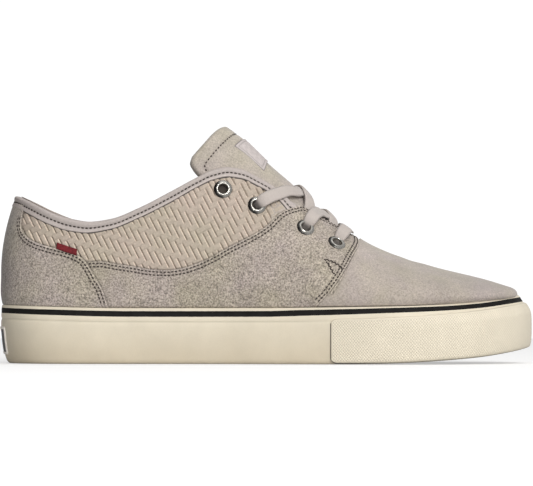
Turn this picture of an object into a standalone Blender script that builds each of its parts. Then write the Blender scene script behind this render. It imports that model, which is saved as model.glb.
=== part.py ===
"""Low skateboarding shoe, right foot, standing on its sole.

Frame: +X runs to the toe, +Z is up, the lateral (outer) side faces -Y.
All driving sizes are in millimetres and are scaled to metres when meshes are made.
"""
import math

import bmesh
import bpy
import numpy as np
from mathutils import Matrix, Vector

MM = 0.001

# ----------------------------------------------------------------- driving sizes
GAP = 0.35              # clearance between neighbouring pieces
FOXING_T = 2.4          # sidewall tape thickness
WALL_T = 2.0            # upper wall thickness
BUMPER_T = 0.9          # toe bumper thickness
LABEL_T = 0.9           # heel label thickness
INSOLE_T = 4.5          # insole thickness
INSOLE_CUP = 2.5        # rise of the insole edge at the heel
TONGUE_T = 4.2          # tongue thickness
TONGUE_GAP = 0.7        # clearance of the tongue under the quarters
EYELET_R = 4.9          # eyelet flange radius
EYELET_BARREL_R = 3.3   # eyelet barrel outer radius
EYELET_HOLE_R = 2.7     # clear hole of an eyelet
LACE_W = 7.4            # flat lace width
LACE_T = 1.2            # flat lace thickness
CENTRE = (0.53, 0.68)   # shift that puts the origin at the middle of the footprint

# plan outline of the sidewall, from the heel round the lateral side to the toe and back
OUTLINE = [
    # name              x       y
    ("heel_back",    -148.4,    0.0),
    ("heel_lat_1",   -144.2,  -17.5),
    ("heel_lat_2",   -131.0,  -31.5),
    ("heel_lat_3",   -108.0,  -38.0),
    ("waist_lat_1",   -72.0,  -39.5),
    ("waist_lat_2",   -32.0,  -41.5),
    ("ball_lat_1",      8.0,  -46.5),
    ("ball_lat_2",     44.0,  -52.0),
    ("ball_lat_3",     76.0,  -53.0),
    ("toe_lat_1",     103.0,  -47.5),
    ("toe_lat_2",     125.0,  -35.5),
    ("toe_lat_3",     140.5,  -17.5),
    ("toe_tip",       147.3,    4.0),
    ("toe_med_1",     143.2,   22.0),
    ("toe_med_2",     130.0,   37.5),
    ("toe_med_3",     107.0,   48.5),
    ("ball_med_1",     78.0,   52.0),
    ("ball_med_2",     48.0,   49.0),
    ("waist_med_1",    12.0,   40.5),
    ("waist_med_2",   -28.0,   34.5),
    ("waist_med_3",   -70.0,   35.0),
    ("heel_med_1",   -107.0,   36.5),
    ("heel_med_2",   -131.0,   30.0),
    ("heel_med_3",   -144.4,   16.5),
]

# heights along the shoe
HEIGHTS = [
    # x       sole underside  sidewall top  footbed board
    (-148.5,       0.0,           32.6,         17.0),
    (-120.0,       0.0,           31.7,         17.0),
    (-90.0,        0.0,           31.0,         16.8),
    (-60.0,        0.0,           30.9,         16.5),
    (0.0,          0.0,           31.0,         14.5),
    (42.0,         0.0,           31.5,         12.8),
    (62.0,         0.2,           31.8,         12.6),
    (80.0,         0.8,           32.2,         12.9),
    (97.0,         1.8,           32.9,         13.8),
    (120.0,        3.7,           34.4,         15.6),
    (141.0,        6.9,           37.0,         17.8),
    (148.5,        8.6,           38.0,         18.8),
]

# how far the sidewall stands in from the outline, by fraction of its height
SIDEWALL = [
    # fraction  heel   side   toe
    (0.00,      4.0,   1.0,   1.6),
    (0.06,      3.0,   0.4,   0.7),
    (0.14,      2.2,   0.2,   0.3),
    (0.28,      1.3,   0.0,   0.0),
    (0.50,      0.5,   0.0,   0.0),
    (0.66,      0.0,   0.0,   0.3),
    (0.78,      0.1,   0.2,   1.7),
    (0.90,      0.0,   0.5,   4.0),
    (1.00,      0.5,   1.0,   6.0),
]

# centre ridge of the last; the part ahead of the throat is the real vamp line
RIDGE = [
    # x        y      z
    (-75.0,    0.0,  152.0),
    (-60.0,    0.0,  151.0),
    (-45.0,    0.0,  147.5),
    (-32.0,    0.2,  142.0),
    (-22.7,    0.5,  136.0),
    (-12.0,    0.8,  128.3),
    (0.0,      1.2,  116.9),
    (13.7,     1.8,  103.9),
    (28.0,     2.4,   89.9),
    (41.0,     2.8,   77.6),
    (46.5,     3.0,   73.4),
    (52.4,     3.2,   69.8),
    (58.0,     3.3,   66.5),
    (64.0,     3.4,   63.6),
    (75.0,     3.6,   59.3),
    (86.0,     3.8,   55.9),
    (97.0,     3.9,   52.8),
    (108.0,    4.0,   50.2),
    (120.0,    4.0,   47.9),
    (131.0,    4.0,   45.9),
    (143.0,    4.0,   43.8),
]

# shape of the sections, by station (share of the way from heel back to toe tip);
# side and crown are the pulls of the section curve at the widest line and at the ridge
SECTIONS = [
    # station  ridge x  bulge inset  bulge z   side   crown
    (0.00,     -73.0,      0.3,       50.0,    0.42,   0.60),
    (0.10,     -70.0,      1.2,       48.0,    0.38,   0.70),
    (0.20,     -61.0,      2.6,       46.0,    0.32,   0.85),
    (0.30,     -45.5,      3.2,       44.0,    0.27,   0.90),
    (0.40,     -25.5,      3.2,       42.0,    0.25,   0.85),
    (0.50,       0.0,      3.0,       40.0,    0.22,   0.70),
    (0.60,      28.5,      2.6,       39.0,    0.24,   0.52),
    (0.70,      56.0,      2.4,       38.5,    0.38,   0.50),
    (0.80,      78.0,      3.0,       37.5,    0.45,   0.60),
    (0.90,      93.5,      4.6,       37.6,    0.50,   0.75),
    (1.00,     103.0,      8.4,       38.2,    0.50,   0.88),
]

# top edge of the upper: collar, then the edge of the lacing opening
TOPLINE = [
    # x         z
    (-139.5,   94.0),
    (-131.5,   90.3),
    (-119.7,   84.7),
    (-108.0,   80.4),
    (-98.0,    78.7),
    (-86.5,    80.2),
    (-70.0,    86.8),
    (-53.0,    95.7),
    (-38.0,   103.8),
    (-30.0,   107.6),
    (-22.0,   109.2),
    (-14.0,   107.9),
    (-5.0,    103.6),
    (3.0,      99.0),
    (9.0,      94.6),
    (14.0,     90.0),
    (20.0,     87.2),
    (30.0,     81.4),
    (40.2,     75.6),
    (47.4,     71.3),
    (51.0,     69.4),
    (52.4,     68.4),
]
THROAT_X = 52.4

# eyelets of one side, from the collar down
EYELETS = [
    # name   x       z
    ("1",  -24.2,   96.9),
    ("2",   -5.3,   87.9),
    ("3",   21.5,   75.2),
    ("4",   38.8,   66.6),
]

# tongue: centre line station and where its side edges lie, seen from the side
TONGUE = [
    # share   ridge x   edge x   edge z
    (0.00,     63.0,     60.0,    55.5),
    (0.15,     50.0,     46.0,    61.5),
    (0.35,     31.0,     25.0,    70.5),
    (0.60,      7.0,     -4.0,    84.0),
    (0.75,     -6.0,    -21.0,    92.5),
    (0.87,    -15.5,    -34.5,   102.5),
    (0.95,    -20.6,    -40.8,   109.5),
    (0.985,   -21.8,    -42.2,   113.2),
    (1.00,    -22.0,    -41.0,   117.0),
]

# lacing: each band runs from the centre of the throat over one flap to its eyelet row
LACE_BANDS = [
    # name            lower row  upper row  start height  start width
    ("lace_cross_1",     "4",       "3",       0.52,         0.36),
    ("lace_cross_2",     "3",       "2",       0.46,         0.44),
]

# red tab sewn into the heel seam, its four corners seen from the side
SIDE_TAG = [
    # name     x        z
    ("rear",  -115.4,   65.2),
    ("front", -104.2,   61.5),
]
TAG_HEIGHT = 3.2
TAG_T = 0.8

# tread channels across the outsole
CHANNELS = [
    # x        half width
    (-122.0,   20.0),
    (-106.0,   24.0),
    (-90.0,    24.0),
    (18.0,     30.0),
    (36.0,     35.0),
    (54.0,     38.0),
    (72.0,     39.0),
    (90.0,     37.0),
    (108.0,    30.0),
]
CHANNEL_W = 3.0
CHANNEL_DEPTH = 1.6


# ----------------------------------------------------------------- curve helpers
def pchip(xs, ys):
    """Shape-keeping cubic through the rows of a table."""
    xs = np.asarray(xs, float)
    ys = np.asarray(ys, float)
    h = np.diff(xs)
    d = np.diff(ys) / h
    m = np.zeros_like(ys)
    for i in range(1, len(xs) - 1):
        if d[i - 1] * d[i] > 0:
            w1 = 2 * h[i] + h[i - 1]
            w2 = h[i] + 2 * h[i - 1]
            m[i] = (w1 + w2) / (w1 / d[i - 1] + w2 / d[i])
    m[0], m[-1] = d[0], d[-1]

    def f(x):
        x = np.clip(np.asarray(x, float), xs[0], xs[-1])
        i = np.clip(np.searchsorted(xs, x) - 1, 0, len(h) - 1)
        t = (x - xs[i]) / h[i]
        return ((1 + 2 * t) * (1 - t) ** 2 * ys[i] + t * (1 - t) ** 2 * h[i] * m[i]
                + t * t * (3 - 2 * t) * ys[i + 1] + t * t * (t - 1) * h[i] * m[i + 1])
    return f


def closed_spline(pts, per=24):
    """Dense points of a closed smooth curve through pts, with the index of each row."""
    pts = np.asarray(pts, float)
    n = len(pts)
    step = np.linalg.norm(np.roll(pts, -1, axis=0) - pts, axis=1)
    a = np.zeros((n, n))
    b = np.zeros((n, 2))
    for i in range(n):
        hp, hn = step[i - 1], step[i]
        a[i, i - 1] = hn
        a[i, i] = 2 * (hp + hn)
        a[i, (i + 1) % n] = hp
        b[i] = 3 * (hn / hp * (pts[i] - pts[i - 1]) + hp / hn * (pts[(i + 1) % n] - pts[i]))
    m = np.linalg.solve(a, b)
    out = []
    for i in range(n):
        j = (i + 1) % n
        t = np.linspace(0, 1, per, endpoint=False)[:, None]
        out.append((1 + 2 * t) * (1 - t) ** 2 * pts[i] + t * (1 - t) ** 2 * step[i] * m[i]
                   + t * t * (3 - 2 * t) * pts[j] + t * t * (t - 1) * step[i] * m[j])
    return np.vstack(out), per


def smooth(x, a, b):
    t = np.clip((np.asarray(x, float) - a) / (b - a), 0, 1)
    return t * t * (3 - 2 * t)


_h = np.array(HEIGHTS)
z_under = pchip(_h[:, 0], _h[:, 1])
z_side = pchip(_h[:, 0], _h[:, 2])
z_board = pchip(_h[:, 0], _h[:, 3])
_s = np.array(SIDEWALL)
side_heel = pchip(_s[:, 0], _s[:, 1])
side_mid = pchip(_s[:, 0], _s[:, 2])
side_toe = pchip(_s[:, 0], _s[:, 3])
_r = np.array(RIDGE)
ridge_y = pchip(_r[:, 0], _r[:, 1])
ridge_z = pchip(_r[:, 0], _r[:, 2])
_c = np.array(SECTIONS)
sec_ridge = pchip(_c[:, 0], _c[:, 1])
sec_inset = pchip(_c[:, 0], _c[:, 2])
sec_bulge = pchip(_c[:, 0], _c[:, 3])
sec_side = pchip(_c[:, 0], _c[:, 4])
sec_crown = pchip(_c[:, 0], _c[:, 5])
_t = np.array(TOPLINE)
topline_z = pchip(_t[:, 0], _t[:, 1])

_dense, _per = closed_spline([(r[1], r[2]) for r in OUTLINE])
_tip = [r[0] for r in OUTLINE].index("toe_tip") * _per
_lat = _dense[:_tip + 1]
_med = np.vstack([_dense[_tip:], _dense[:1]])[::-1]


def _by_length(line):
    s = np.concatenate([[0], np.cumsum(np.linalg.norm(np.diff(line, axis=0), axis=1))])
    return s / s[-1], line


_sides = {-1: _by_length(_lat), 1: _by_length(_med)}


def outline(side, q):
    """Outline point and inward unit normal at station q (0 heel back, 1 toe tip)."""
    s, line = _sides[side]
    q = float(q)
    p = np.array([np.interp(q, s, line[:, 0]), np.interp(q, s, line[:, 1])])
    e = 0.004
    other_s, other = _sides[-side]

    def at(k):
        if k < 0:
            return np.array([np.interp(-k, other_s, other[:, 0]), np.interp(-k, other_s, other[:, 1])])
        if k > 1:
            return np.array([np.interp(2 - k, other_s, other[:, 0]), np.interp(2 - k, other_s, other[:, 1])])
        return np.array([np.interp(k, s, line[:, 0]), np.interp(k, s, line[:, 1])])
    t = at(q + e) - at(q - e)
    t = t / np.linalg.norm(t)
    n = np.array([-t[1], t[0]]) if side < 0 else np.array([t[1], -t[0]])
    return p, n


def side_inset(x, frac):
    """Inset of the sidewall's outer face at plan position x and height fraction."""
    heel = 1 - smooth(x, -146, -112)
    toe = smooth(x, 62, 143)
    return (side_mid(frac) * (1 - heel) * (1 - toe) + side_heel(frac) * heel + side_toe(frac) * toe)


def side_point(side, q, frac, extra=0.0):
    """Point of the sidewall's outer face, moved in by extra."""
    p, n = outline(side, q)
    z = z_under(p[0]) + frac * (z_side(p[0]) - z_under(p[0]))
    d = side_inset(p[0], frac) + extra
    return np.array([p[0] + n[0] * d, p[1] + n[1] * d, z])


def wall_point(side, q, z, extra=0.0):
    p, n = outline(side, q)
    frac = (z - z_under(p[0])) / (z_side(p[0]) - z_under(p[0]))
    return side_point(side, q, float(np.clip(frac, 0, 1)), extra)


def last_point(side, q, t):
    """Skin of the upper. t -1..0 tucked in the sidewall, 0..1 up to the widest line,
    1..2 over to the centre ridge."""
    p, n = outline(side, q)
    zt = float(z_side(p[0]))
    zb = float(sec_bulge(q))
    zb = max(zb, zt + 0.5)
    d_top = float(side_inset(p[0], 1.0)) + FOXING_T + GAP
    d_b = float(sec_inset(q))
    if t <= 0:
        z0 = float(z_board(p[0])) + GAP
        z = zt + t * (zt - z0)
        frac = float((z - z_under(p[0])) / (zt - z_under(p[0])))
        d = float(side_inset(p[0], frac)) + FOXING_T + GAP
        return np.array([p[0] + n[0] * d, p[1] + n[1] * d, z])
    if t <= 1:
        z = zt + t * (zb - zt)
        d = d_b + (d_top - d_b) * (1 - t) ** 2
        return np.array([p[0] + n[0] * d, p[1] + n[1] * d, z])
    w = np.array([p[0] + n[0] * d_b, p[1] + n[1] * d_b])
    rx = float(sec_ridge(q))
    r = np.array([rx, float(ridge_y(rx))])
    u = t - 1
    h = (1 - u) ** 3 + 3 * (1 - u) ** 2 * u + 3 * (1 - u) * u * u * float(sec_crown(q))
    s = 3 * (1 - u) ** 2 * u * float(sec_side(q)) + 3 * (1 - u) * u * u + u ** 3
    x, y = r + (w - r) * h
    return np.array([x, y, zb + (float(ridge_z(x)) - zb) * s])


def normal_at(side, q, t):
    e = 0.004
    du = last_point(side, min(q + e, 1), t) - last_point(side, max(q - e, 0), t)
    dv = last_point(side, q, min(t + e, 2)) - last_point(side, q, t - e)
    n = np.cross(du, dv) * (1 if side < 0 else -1)
    return n / np.linalg.norm(n)


def cut_at(side, q):
    """Where the section of station q meets the top edge of the upper (2 = ridge)."""
    if sec_ridge(q) >= THROAT_X - 0.01:
        return 2.0

    def open_at(t):
        p = last_point(side, q, t)
        return p[0] < THROAT_X and p[2] > float(topline_z(p[0]))
    for k in range(1, 41):
        if open_at(1 + k / 40):
            lo, hi = 1 + (k - 1) / 40, 1 + k / 40
            for _ in range(14):
                mid = (lo + hi) / 2
                lo, hi = (lo, mid) if open_at(mid) else (mid, hi)
            return hi
    return 2.0


def find(side, x, z):
    """Station and t of the skin point seen at x, z from the side."""
    q, t = 0.5, 1.4
    for _ in range(60):
        p = last_point(side, q, t)
        e = np.array([x - p[0], z - p[2]])
        if np.linalg.norm(e) < 1e-4:
            break
        dq = (last_point(side, q + 1e-3, t) - p) / 1e-3
        dt = (last_point(side, q, t + 1e-3) - p) / 1e-3
        j = np.array([[dq[0], dt[0]], [dq[2], dt[2]]])
        s = np.linalg.solve(j, e)
        q = float(np.clip(q + np.clip(s[0], -0.05, 0.05), 0.01, 0.985))
        t = float(np.clip(t + np.clip(s[1], -0.1, 0.1), 0.02, 1.98))
    return q, t


_g = np.array(TONGUE)
tongue_ridge = pchip(_g[:, 0], _g[:, 1])
tongue_edge_x = pchip(_g[:, 0], _g[:, 2])
tongue_edge_z = pchip(_g[:, 0], _g[:, 3])
_qq = np.linspace(0, 1, 1001)
_ridge_tab = (np.array([float(sec_ridge(q)) for q in _qq]), _qq)


def tongue_row(share, side, across, depth):
    """Points of the tongue on one side at one share of its length."""
    q0 = float(np.interp(float(tongue_ridge(share)), *_ridge_tab))
    q1, t1 = find(side, float(tongue_edge_x(share)), float(tongue_edge_z(share)))
    power = 1.5 + 0.5 * float(smooth(share, 0.85, 1.0))
    out = []
    for a in across:
        q = q0 + (q1 - q0) * a ** power
        t = 2 + (t1 - 2) * a
        p = last_point(side, q, t)
        if a == 0:
            x = p[0]
            n = np.array([-float(ridge_z(x + 0.5) - ridge_z(x - 0.5)), 0.0, 1.0])
            n /= np.linalg.norm(n)
        else:
            n = normal_at(side, q, min(t, 1.99))
        out.append(p - n * depth)
    return out


# ----------------------------------------------------------------- mesh helpers
def start_clean():
    for ob in list(bpy.data.objects):
        bpy.data.objects.remove(ob, do_unlink=True)


def collection(name):
    c = bpy.data.collections.new(name)
    bpy.context.scene.collection.children.link(c)
    return c


def material(name, rgb, rough, metal=0.0):
    m = bpy.data.materials.new(name)
    m.use_nodes = True
    b = m.node_tree.nodes["Principled BSDF"]
    b.inputs["Base Color"].default_value = (*rgb, 1)
    b.inputs["Roughness"].default_value = rough
    b.inputs["Metallic"].default_value = metal
    return m


def mesh_object(name, verts, faces, mat, coll, weld=None):
    """Closed or open mesh from millimetre points."""
    me = bpy.data.meshes.new(name)
    me.from_pydata([tuple(float(c) * MM for c in v) for v in verts], [], faces)
    me.update()
    bm = bmesh.new()
    bm.from_mesh(me)
    if weld:
        bmesh.ops.remove_doubles(bm, verts=bm.verts, dist=weld * MM)
    bmesh.ops.recalc_face_normals(bm, faces=bm.faces)
    bm.to_mesh(me)
    bm.free()
    me.materials.append(mat)
    ob = bpy.data.objects.new(name, me)
    coll.objects.link(ob)
    return ob


def grid_faces(rows, cols, close_rows=False, close_cols=False):
    out = []
    for i in range(rows if close_rows else rows - 1):
        for j in range(cols if close_cols else cols - 1):
            a, b = i * cols + j, i * cols + (j + 1) % cols
            c, d = ((i + 1) % rows) * cols + (j + 1) % cols, ((i + 1) % rows) * cols + j
            out.append((a, b, c, d))
    return out


def stations(n, extra=()):
    qs = sorted(set([round(i / n, 5) for i in range(n + 1)] + [round(e, 5) for e in extra]))
    keep = [qs[0]]
    for q in qs[1:]:
        if q - keep[-1] > 0.25 / n or q in extra:
            keep.append(q)
    return keep


def loop(qs):
    """Stations of the full loop: lateral side to the toe, then back on the medial side."""
    return [(-1, q) for q in qs] + [(1, q) for q in qs[-2:0:-1]]


# ----------------------------------------------------------------- pieces
def ring_piece(name, qs, fracs, t, mat, coll):
    """Closed wrap round the whole shoe, outer face on the sidewall."""
    verts = []
    st = loop(qs)
    for side, q in st:
        for f in fracs:
            verts.append(side_point(side, q, f))
        for f in reversed(fracs):
            verts.append(side_point(side, q, f, t))
    k = 2 * len(fracs)
    return mesh_object(name, verts, grid_faces(len(st), k, True, True), mat, coll)


def patch_piece(name, st, lo, hi, inner, t, mat, coll, rows=6, round_r=4.0, pitch=None):
    """Raised patch on the sidewall; lo and hi give its height fractions per station and
    the ends are rounded by round_r."""
    pts = [side_point(s, q, 0.5) for s, q in st]
    run = np.concatenate([[0], np.cumsum([np.linalg.norm(pts[i + 1] - pts[i]) for i in range(len(pts) - 1)])])
    total = run[-1]
    verts = []
    for (s, q), d in zip(st, run):
        x = outline(s, q)[0][0]
        height = float(z_side(x) - z_under(x))
        e = min(d, total - d)
        cut = 0.0
        if e < round_r:
            cut = (round_r - math.sqrt(round_r ** 2 - (round_r - e) ** 2)) * 0.85 / height
        a, b = lo(x) + cut, hi(x) - cut
        fr = [a + (b - a) * j / (rows - 1) for j in range(rows)]
        for f in fr:
            verts.append(side_point(s, q, f, -inner - t))
        for f in reversed(fr):
            verts.append(side_point(s, q, f, -inner))
    k = 2 * rows
    faces = grid_faces(len(st), k, False, True)
    faces.append(tuple(range(k)))
    faces.append(tuple(range((len(st) - 1) * k, len(st) * k))[::-1])
    return mesh_object(name, verts, faces, mat, coll)


def spine_x(q):
    return -112 + 222 * smooth(q, 0.0, 1.0) * 0.35 + 222 * q * 0.65


def slab_piece(name, qs, edge, top, bottom, shares, mat, coll):
    """Slab with a lofted top and bottom; edge gives the points of its rim wall from the
    bottom up, shares the rings between rim and spine."""
    st = loop(qs)
    n = len(st)
    verts, rims = [], []
    for side, q in st:
        e = edge(side, q)
        rims.append(len(e))
        verts += e
    k = rims[0]
    faces = grid_faces(n, k, True, False)
    for level, fn in ((k - 1, top), (0, bottom)):
        base = len(verts)
        m = len(shares)
        for i, (side, q) in enumerate(st):
            e = np.array(verts[i * k + level])
            sx = float(spine_x(q))
            c = np.array([sx, float(ridge_y(sx)) * 0.6])
            for f in shares:
                xy = c + (e[:2] - c) * f
                verts.append(np.array([xy[0], xy[1], fn(xy[0], f)]))
        for i in range(n):
            j = (i + 1) % n
            ring = [i * k + level] + [base + i * m + r for r in range(m)]
            nxt = [j * k + level] + [base + j * m + r for r in range(m)]
            for r in range(m):
                faces.append((ring[r], nxt[r], nxt[r + 1], ring[r + 1]))
    # the last ring is the spine: both sides share its points
    return mesh_object(name, verts, faces, mat, coll, weld=0.01)


def build_sole(coll, rubber):
    qs = stations(32, (0.97,))
    fracs = [0.0, 0.08, 0.28, 0.66, 0.83, 1.0]
    foxing = ring_piece("foxing", qs, fracs, FOXING_T, rubber, coll)

    def edge(side, q):
        x = outline(side, q)[0][0]
        zs = np.linspace(float(z_under(x)), float(z_board(x)), 3)
        return [wall_point(side, q, z, FOXING_T + GAP) for z in zs]
    sole = slab_piece("outsole", qs, edge, lambda x, f: float(z_board(x)),
                      lambda x, f: float(z_under(x)), (0.6, 0.0), rubber, coll)
    return foxing, sole


def build_insole(coll, mat):
    qs = stations(22)

    def top_z(x, f):
        heel = 1 - smooth(x, -110, -20)
        return float(z_board(x)) + GAP + INSOLE_T + INSOLE_CUP * float(heel) * f ** 3

    def edge(side, q):
        x = outline(side, q)[0][0]
        lo = float(z_board(x)) + GAP
        hi = top_z(x, 1.0)
        e = FOXING_T + GAP + WALL_T + 0.9
        a = wall_point(side, q, lo, e)
        b = wall_point(side, q, hi, e)
        a[2] = float(z_board(a[0])) + GAP
        b[2] = top_z(b[0], 1.0)
        return [a, b]
    return slab_piece("insole", qs, edge, top_z, lambda x, f: float(z_board(x)) + GAP,
                      (0.8, 0.4, 0.0), mat, coll)


def build_upper(coll, cutters, mat):
    throat = float(np.interp(THROAT_X, [sec_ridge(q) for q in np.linspace(0, 1, 2001)],
                             np.linspace(0, 1, 2001)))
    qs = stations(32, (round(throat, 5), round(throat - 0.006, 5), round(throat - 0.016, 5)))
    st = loop(qs)
    rows = 14
    verts = []
    for side, q in st:
        tc = cut_at(side, q)
        ts = [-1.0, -0.4, 0.0, 0.45, 1.0]
        more = rows - len(ts)
        ts += [1 + (tc - 1) * ((j + 1) / more) ** 0.9 for j in range(more)]
        for t in ts:
            verts.append(last_point(side, q, t))
    ob = mesh_object("upper", verts, grid_faces(len(st), rows, True, False), mat, coll, weld=0.01)
    sol = ob.modifiers.new("wall", "SOLIDIFY")
    sol.thickness = WALL_T * MM
    sol.offset = -1
    sol.use_even_offset = True
    # eyelet holes
    bm = bmesh.new()
    for side in (-1, 1):
        for name, x, z in EYELETS:
            q, t = find(side, x, z)
            p = Vector(last_point(side, q, t)) * MM
            n = Vector(normal_at(side, q, t))
            rot = n.to_track_quat("Z", "Y").to_matrix().to_4x4()
            bmesh.ops.create_cone(bm, cap_ends=True, segments=16,
                                  radius1=(EYELET_BARREL_R + GAP) * MM,
                                  radius2=(EYELET_BARREL_R + GAP) * MM, depth=12 * MM,
                                  matrix=Matrix.Translation(p) @ rot)
    me = bpy.data.meshes.new("eyelet_holes")
    bm.to_mesh(me)
    bm.free()
    cut = bpy.data.objects.new("eyelet_holes", me)
    cutters.objects.link(cut)
    cut.hide_render = True
    cut.display_type = "WIRE"
    b = ob.modifiers.new("holes", "BOOLEAN")
    b.operation = "DIFFERENCE"
    b.solver = "EXACT"
    b.object = cut
    return ob


def build_tongue(coll, mat):
    shares = [0, 0.08, 0.16, 0.26, 0.36, 0.46, 0.56, 0.66, 0.75, 0.83, 0.9, 0.95, 0.98, 1.0]
    half = [0.2, 0.4, 0.6, 0.78, 0.92, 1]
    across = range(2 * len(half) + 1)
    verts = []
    for s in shares:
        lat = tongue_row(s, -1, half, WALL_T + TONGUE_GAP)
        med = tongue_row(s, 1, [0] + half, WALL_T + TONGUE_GAP)
        verts += lat[::-1] + med
    ob = mesh_object("tongue", verts, grid_faces(len(shares), len(across)), mat, coll)
    bm = bmesh.new()
    bm.from_mesh(ob.data)
    up = sum((f.normal.z for f in bm.faces))
    if up < 0:
        bmesh.ops.reverse_faces(bm, faces=bm.faces)
        bm.to_mesh(ob.data)
    bm.free()
    sol = ob.modifiers.new("pad", "SOLIDIFY")
    sol.thickness = TONGUE_T * MM
    sol.offset = -1
    sol.use_even_offset = True
    return ob


def build_wraps(coll, rubber, dark):
    st = [(-1, q) for q in np.linspace(0.592, 1, 18)] + [(1, q) for q in np.linspace(1, 0.592, 18)[1:]]
    ends = [0.5933, 0.5955, 0.599, 0.604]
    st = st[:1] + [(-1, q) for q in ends] + st[1:-1] + [(1, q) for q in ends[::-1]] + st[-1:]
    patch_piece("toe_bumper", st, lambda x: 0.035, lambda x: 0.80 + 0.06 * float(smooth(x, 40, 145)),
                GAP, BUMPER_T, rubber, coll, rows=6, round_r=4.0)
    st = [(-1, q) for q in (0.042, 0.039, 0.034, 0.024, 0.012)] + [(-1, 0.0)]
    st += [(1, q) for _, q in st[-2::-1]]
    patch_piece("heel_label", st, lambda x: 0.145, lambda x: 0.63, GAP, LABEL_T, dark, coll,
                rows=4, round_r=1.2)


def channel_cutters(sole, cutters):
    bm = bmesh.new()
    for x, half in CHANNELS:
        top = float(z_under(x)) + CHANNEL_DEPTH
        m = (Matrix.Translation(Vector((x, 0.0, top - 3.0)) * MM)
             @ Matrix.Diagonal((CHANNEL_W * MM, 2 * half * MM, 6.0 * MM, 1.0)))
        bmesh.ops.create_cube(bm, size=1.0, matrix=m)
    me = bpy.data.meshes.new("tread_channels")
    bm.to_mesh(me)
    bm.free()
    cut = bpy.data.objects.new("tread_channels", me)
    cutters.objects.link(cut)
    cut.hide_render = True
    cut.display_type = "WIRE"
    b = sole.modifiers.new("channels", "BOOLEAN")
    b.operation = "DIFFERENCE"
    b.solver = "EXACT"
    b.object = cut


def frame_at(side, x, z):
    q, t = find(side, x, z)
    p = Vector(last_point(side, q, t)) * MM
    n = Vector(normal_at(side, q, t))
    return Matrix.Translation(p) @ n.to_track_quat("Z", "Y").to_matrix().to_4x4()


def build_eyelets(coll, metal):
    prof = [
        # radius                 height over the skin
        (EYELET_HOLE_R,          -WALL_T - GAP),
        (EYELET_BARREL_R,        -WALL_T - GAP),
        (EYELET_BARREL_R,         GAP),
        (EYELET_R,                GAP),
        (EYELET_R - 0.3,          GAP + 0.6),
        (0.5 * (EYELET_R + EYELET_HOLE_R), GAP + 0.95),
        (EYELET_HOLE_R,           GAP + 0.2),
    ]
    seg = 16
    for side, word in ((-1, "lateral"), (1, "medial")):
        for name, x, z in EYELETS:
            m = frame_at(side, x, z)
            verts = []
            for i in range(seg):
                a = 2 * math.pi * i / seg
                for r, h in prof:
                    v = m @ (Vector((r * math.cos(a), r * math.sin(a), h)) * MM)
                    verts.append(np.array(v) / MM)
            mesh_object("eyelet_%s_%s" % (word, name), verts,
                        grid_faces(seg, len(prof), True, True), metal, coll)


def over_point(q, c, lift):
    """Point over the throat; c -1..1 runs from the lateral to the medial skin."""
    side = -1 if c < 0 else 1
    t = 2 - abs(c)
    p = last_point(side, q, t)
    n = normal_at(side, q, min(t, 1.985))
    if abs(c) < 0.05:
        n0 = normal_at(-side, q, 1.985)
        n = n + n0 * (1 - abs(c) / 0.05)
        n /= np.linalg.norm(n)
    return p + n * lift, n


def band(pts, normals):
    """Flat lace along a path: closed strip of LACE_W by LACE_T."""
    verts = []
    n = len(pts)
    for i in range(n):
        d = pts[min(i + 1, n - 1)] - pts[max(i - 1, 0)]
        d /= np.linalg.norm(d)
        up = normals[i] - d * np.dot(normals[i], d)
        up /= np.linalg.norm(up)
        w = np.cross(d, up)
        for a, b in ((-1, 0), (-0.82, -0.5), (0.82, -0.5), (1, 0), (0.82, 0.5), (-0.82, 0.5)):
            verts.append(pts[i] + w * a * LACE_W / 2 + up * b * LACE_T)
    faces = grid_faces(n, 6, False, True)
    faces.append(tuple(range(6)))
    faces.append(tuple(range((n - 1) * 6, n * 6))[::-1])
    return verts, faces


def lace_path(qa, ca, qb, cb, lifts, steps):
    pts, nrm = [], []
    for i in range(steps + 1):
        f = i / steps
        c = ca + (cb - ca) * f
        q = qa + (qb - qa) * f
        lift = float(np.interp(f, [v[0] for v in lifts], [v[1] for v in lifts]))
        p, n = over_point(q, c, lift)
        pts.append(p)
        nrm.append(n)
    return pts, nrm


def build_lace(coll, cutters, mat):
    at = {}
    for side in (-1, 1):
        for name, x, z in EYELETS:
            at[side, name] = find(side, x, z)
    low = LACE_T / 2 + 0.45

    def clear(side, name, share):
        q, t = at[side, name]
        return q, side * (2 - t) * share
    qa, ca = clear(-1, "4", 0.66)
    qb, cb = clear(1, "4", 0.66)
    pts, nrm = lace_path(qa, ca, qb, cb, [(0, low), (1, low)], 14)
    v, f = band(pts, nrm)
    mesh_object("lace_bar", v, f, mat, coll)
    for name, lower, upper, rise, share in LACE_BANDS:
        made = []
        for side, hump in ((-1, 0.0), (1, 0.9)):
            ql, cl = clear(-side, lower, share)
            qu, cu = clear(side, upper, 0.66)
            ql = ql + (qu - ql) * rise
            lifts = [(0, low + 0.3), (0.35, low + 0.3 + hump), (0.6, low + 0.2 + hump), (0.8, low + 0.1), (1, low)]
            pts, nrm = lace_path(ql, cl, qu, cu, lifts, 14)
            made.append(band(pts, nrm))
        main_ob = mesh_object(name, *made[0], mat, coll)
        other = mesh_object(name + "_second", *made[1], mat, cutters)
        other.hide_render = True
        other.display_type = "WIRE"
        b = main_ob.modifiers.new("joined", "BOOLEAN")
        b.operation = "UNION"
        b.solver = "EXACT"
        b.object = other


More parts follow.
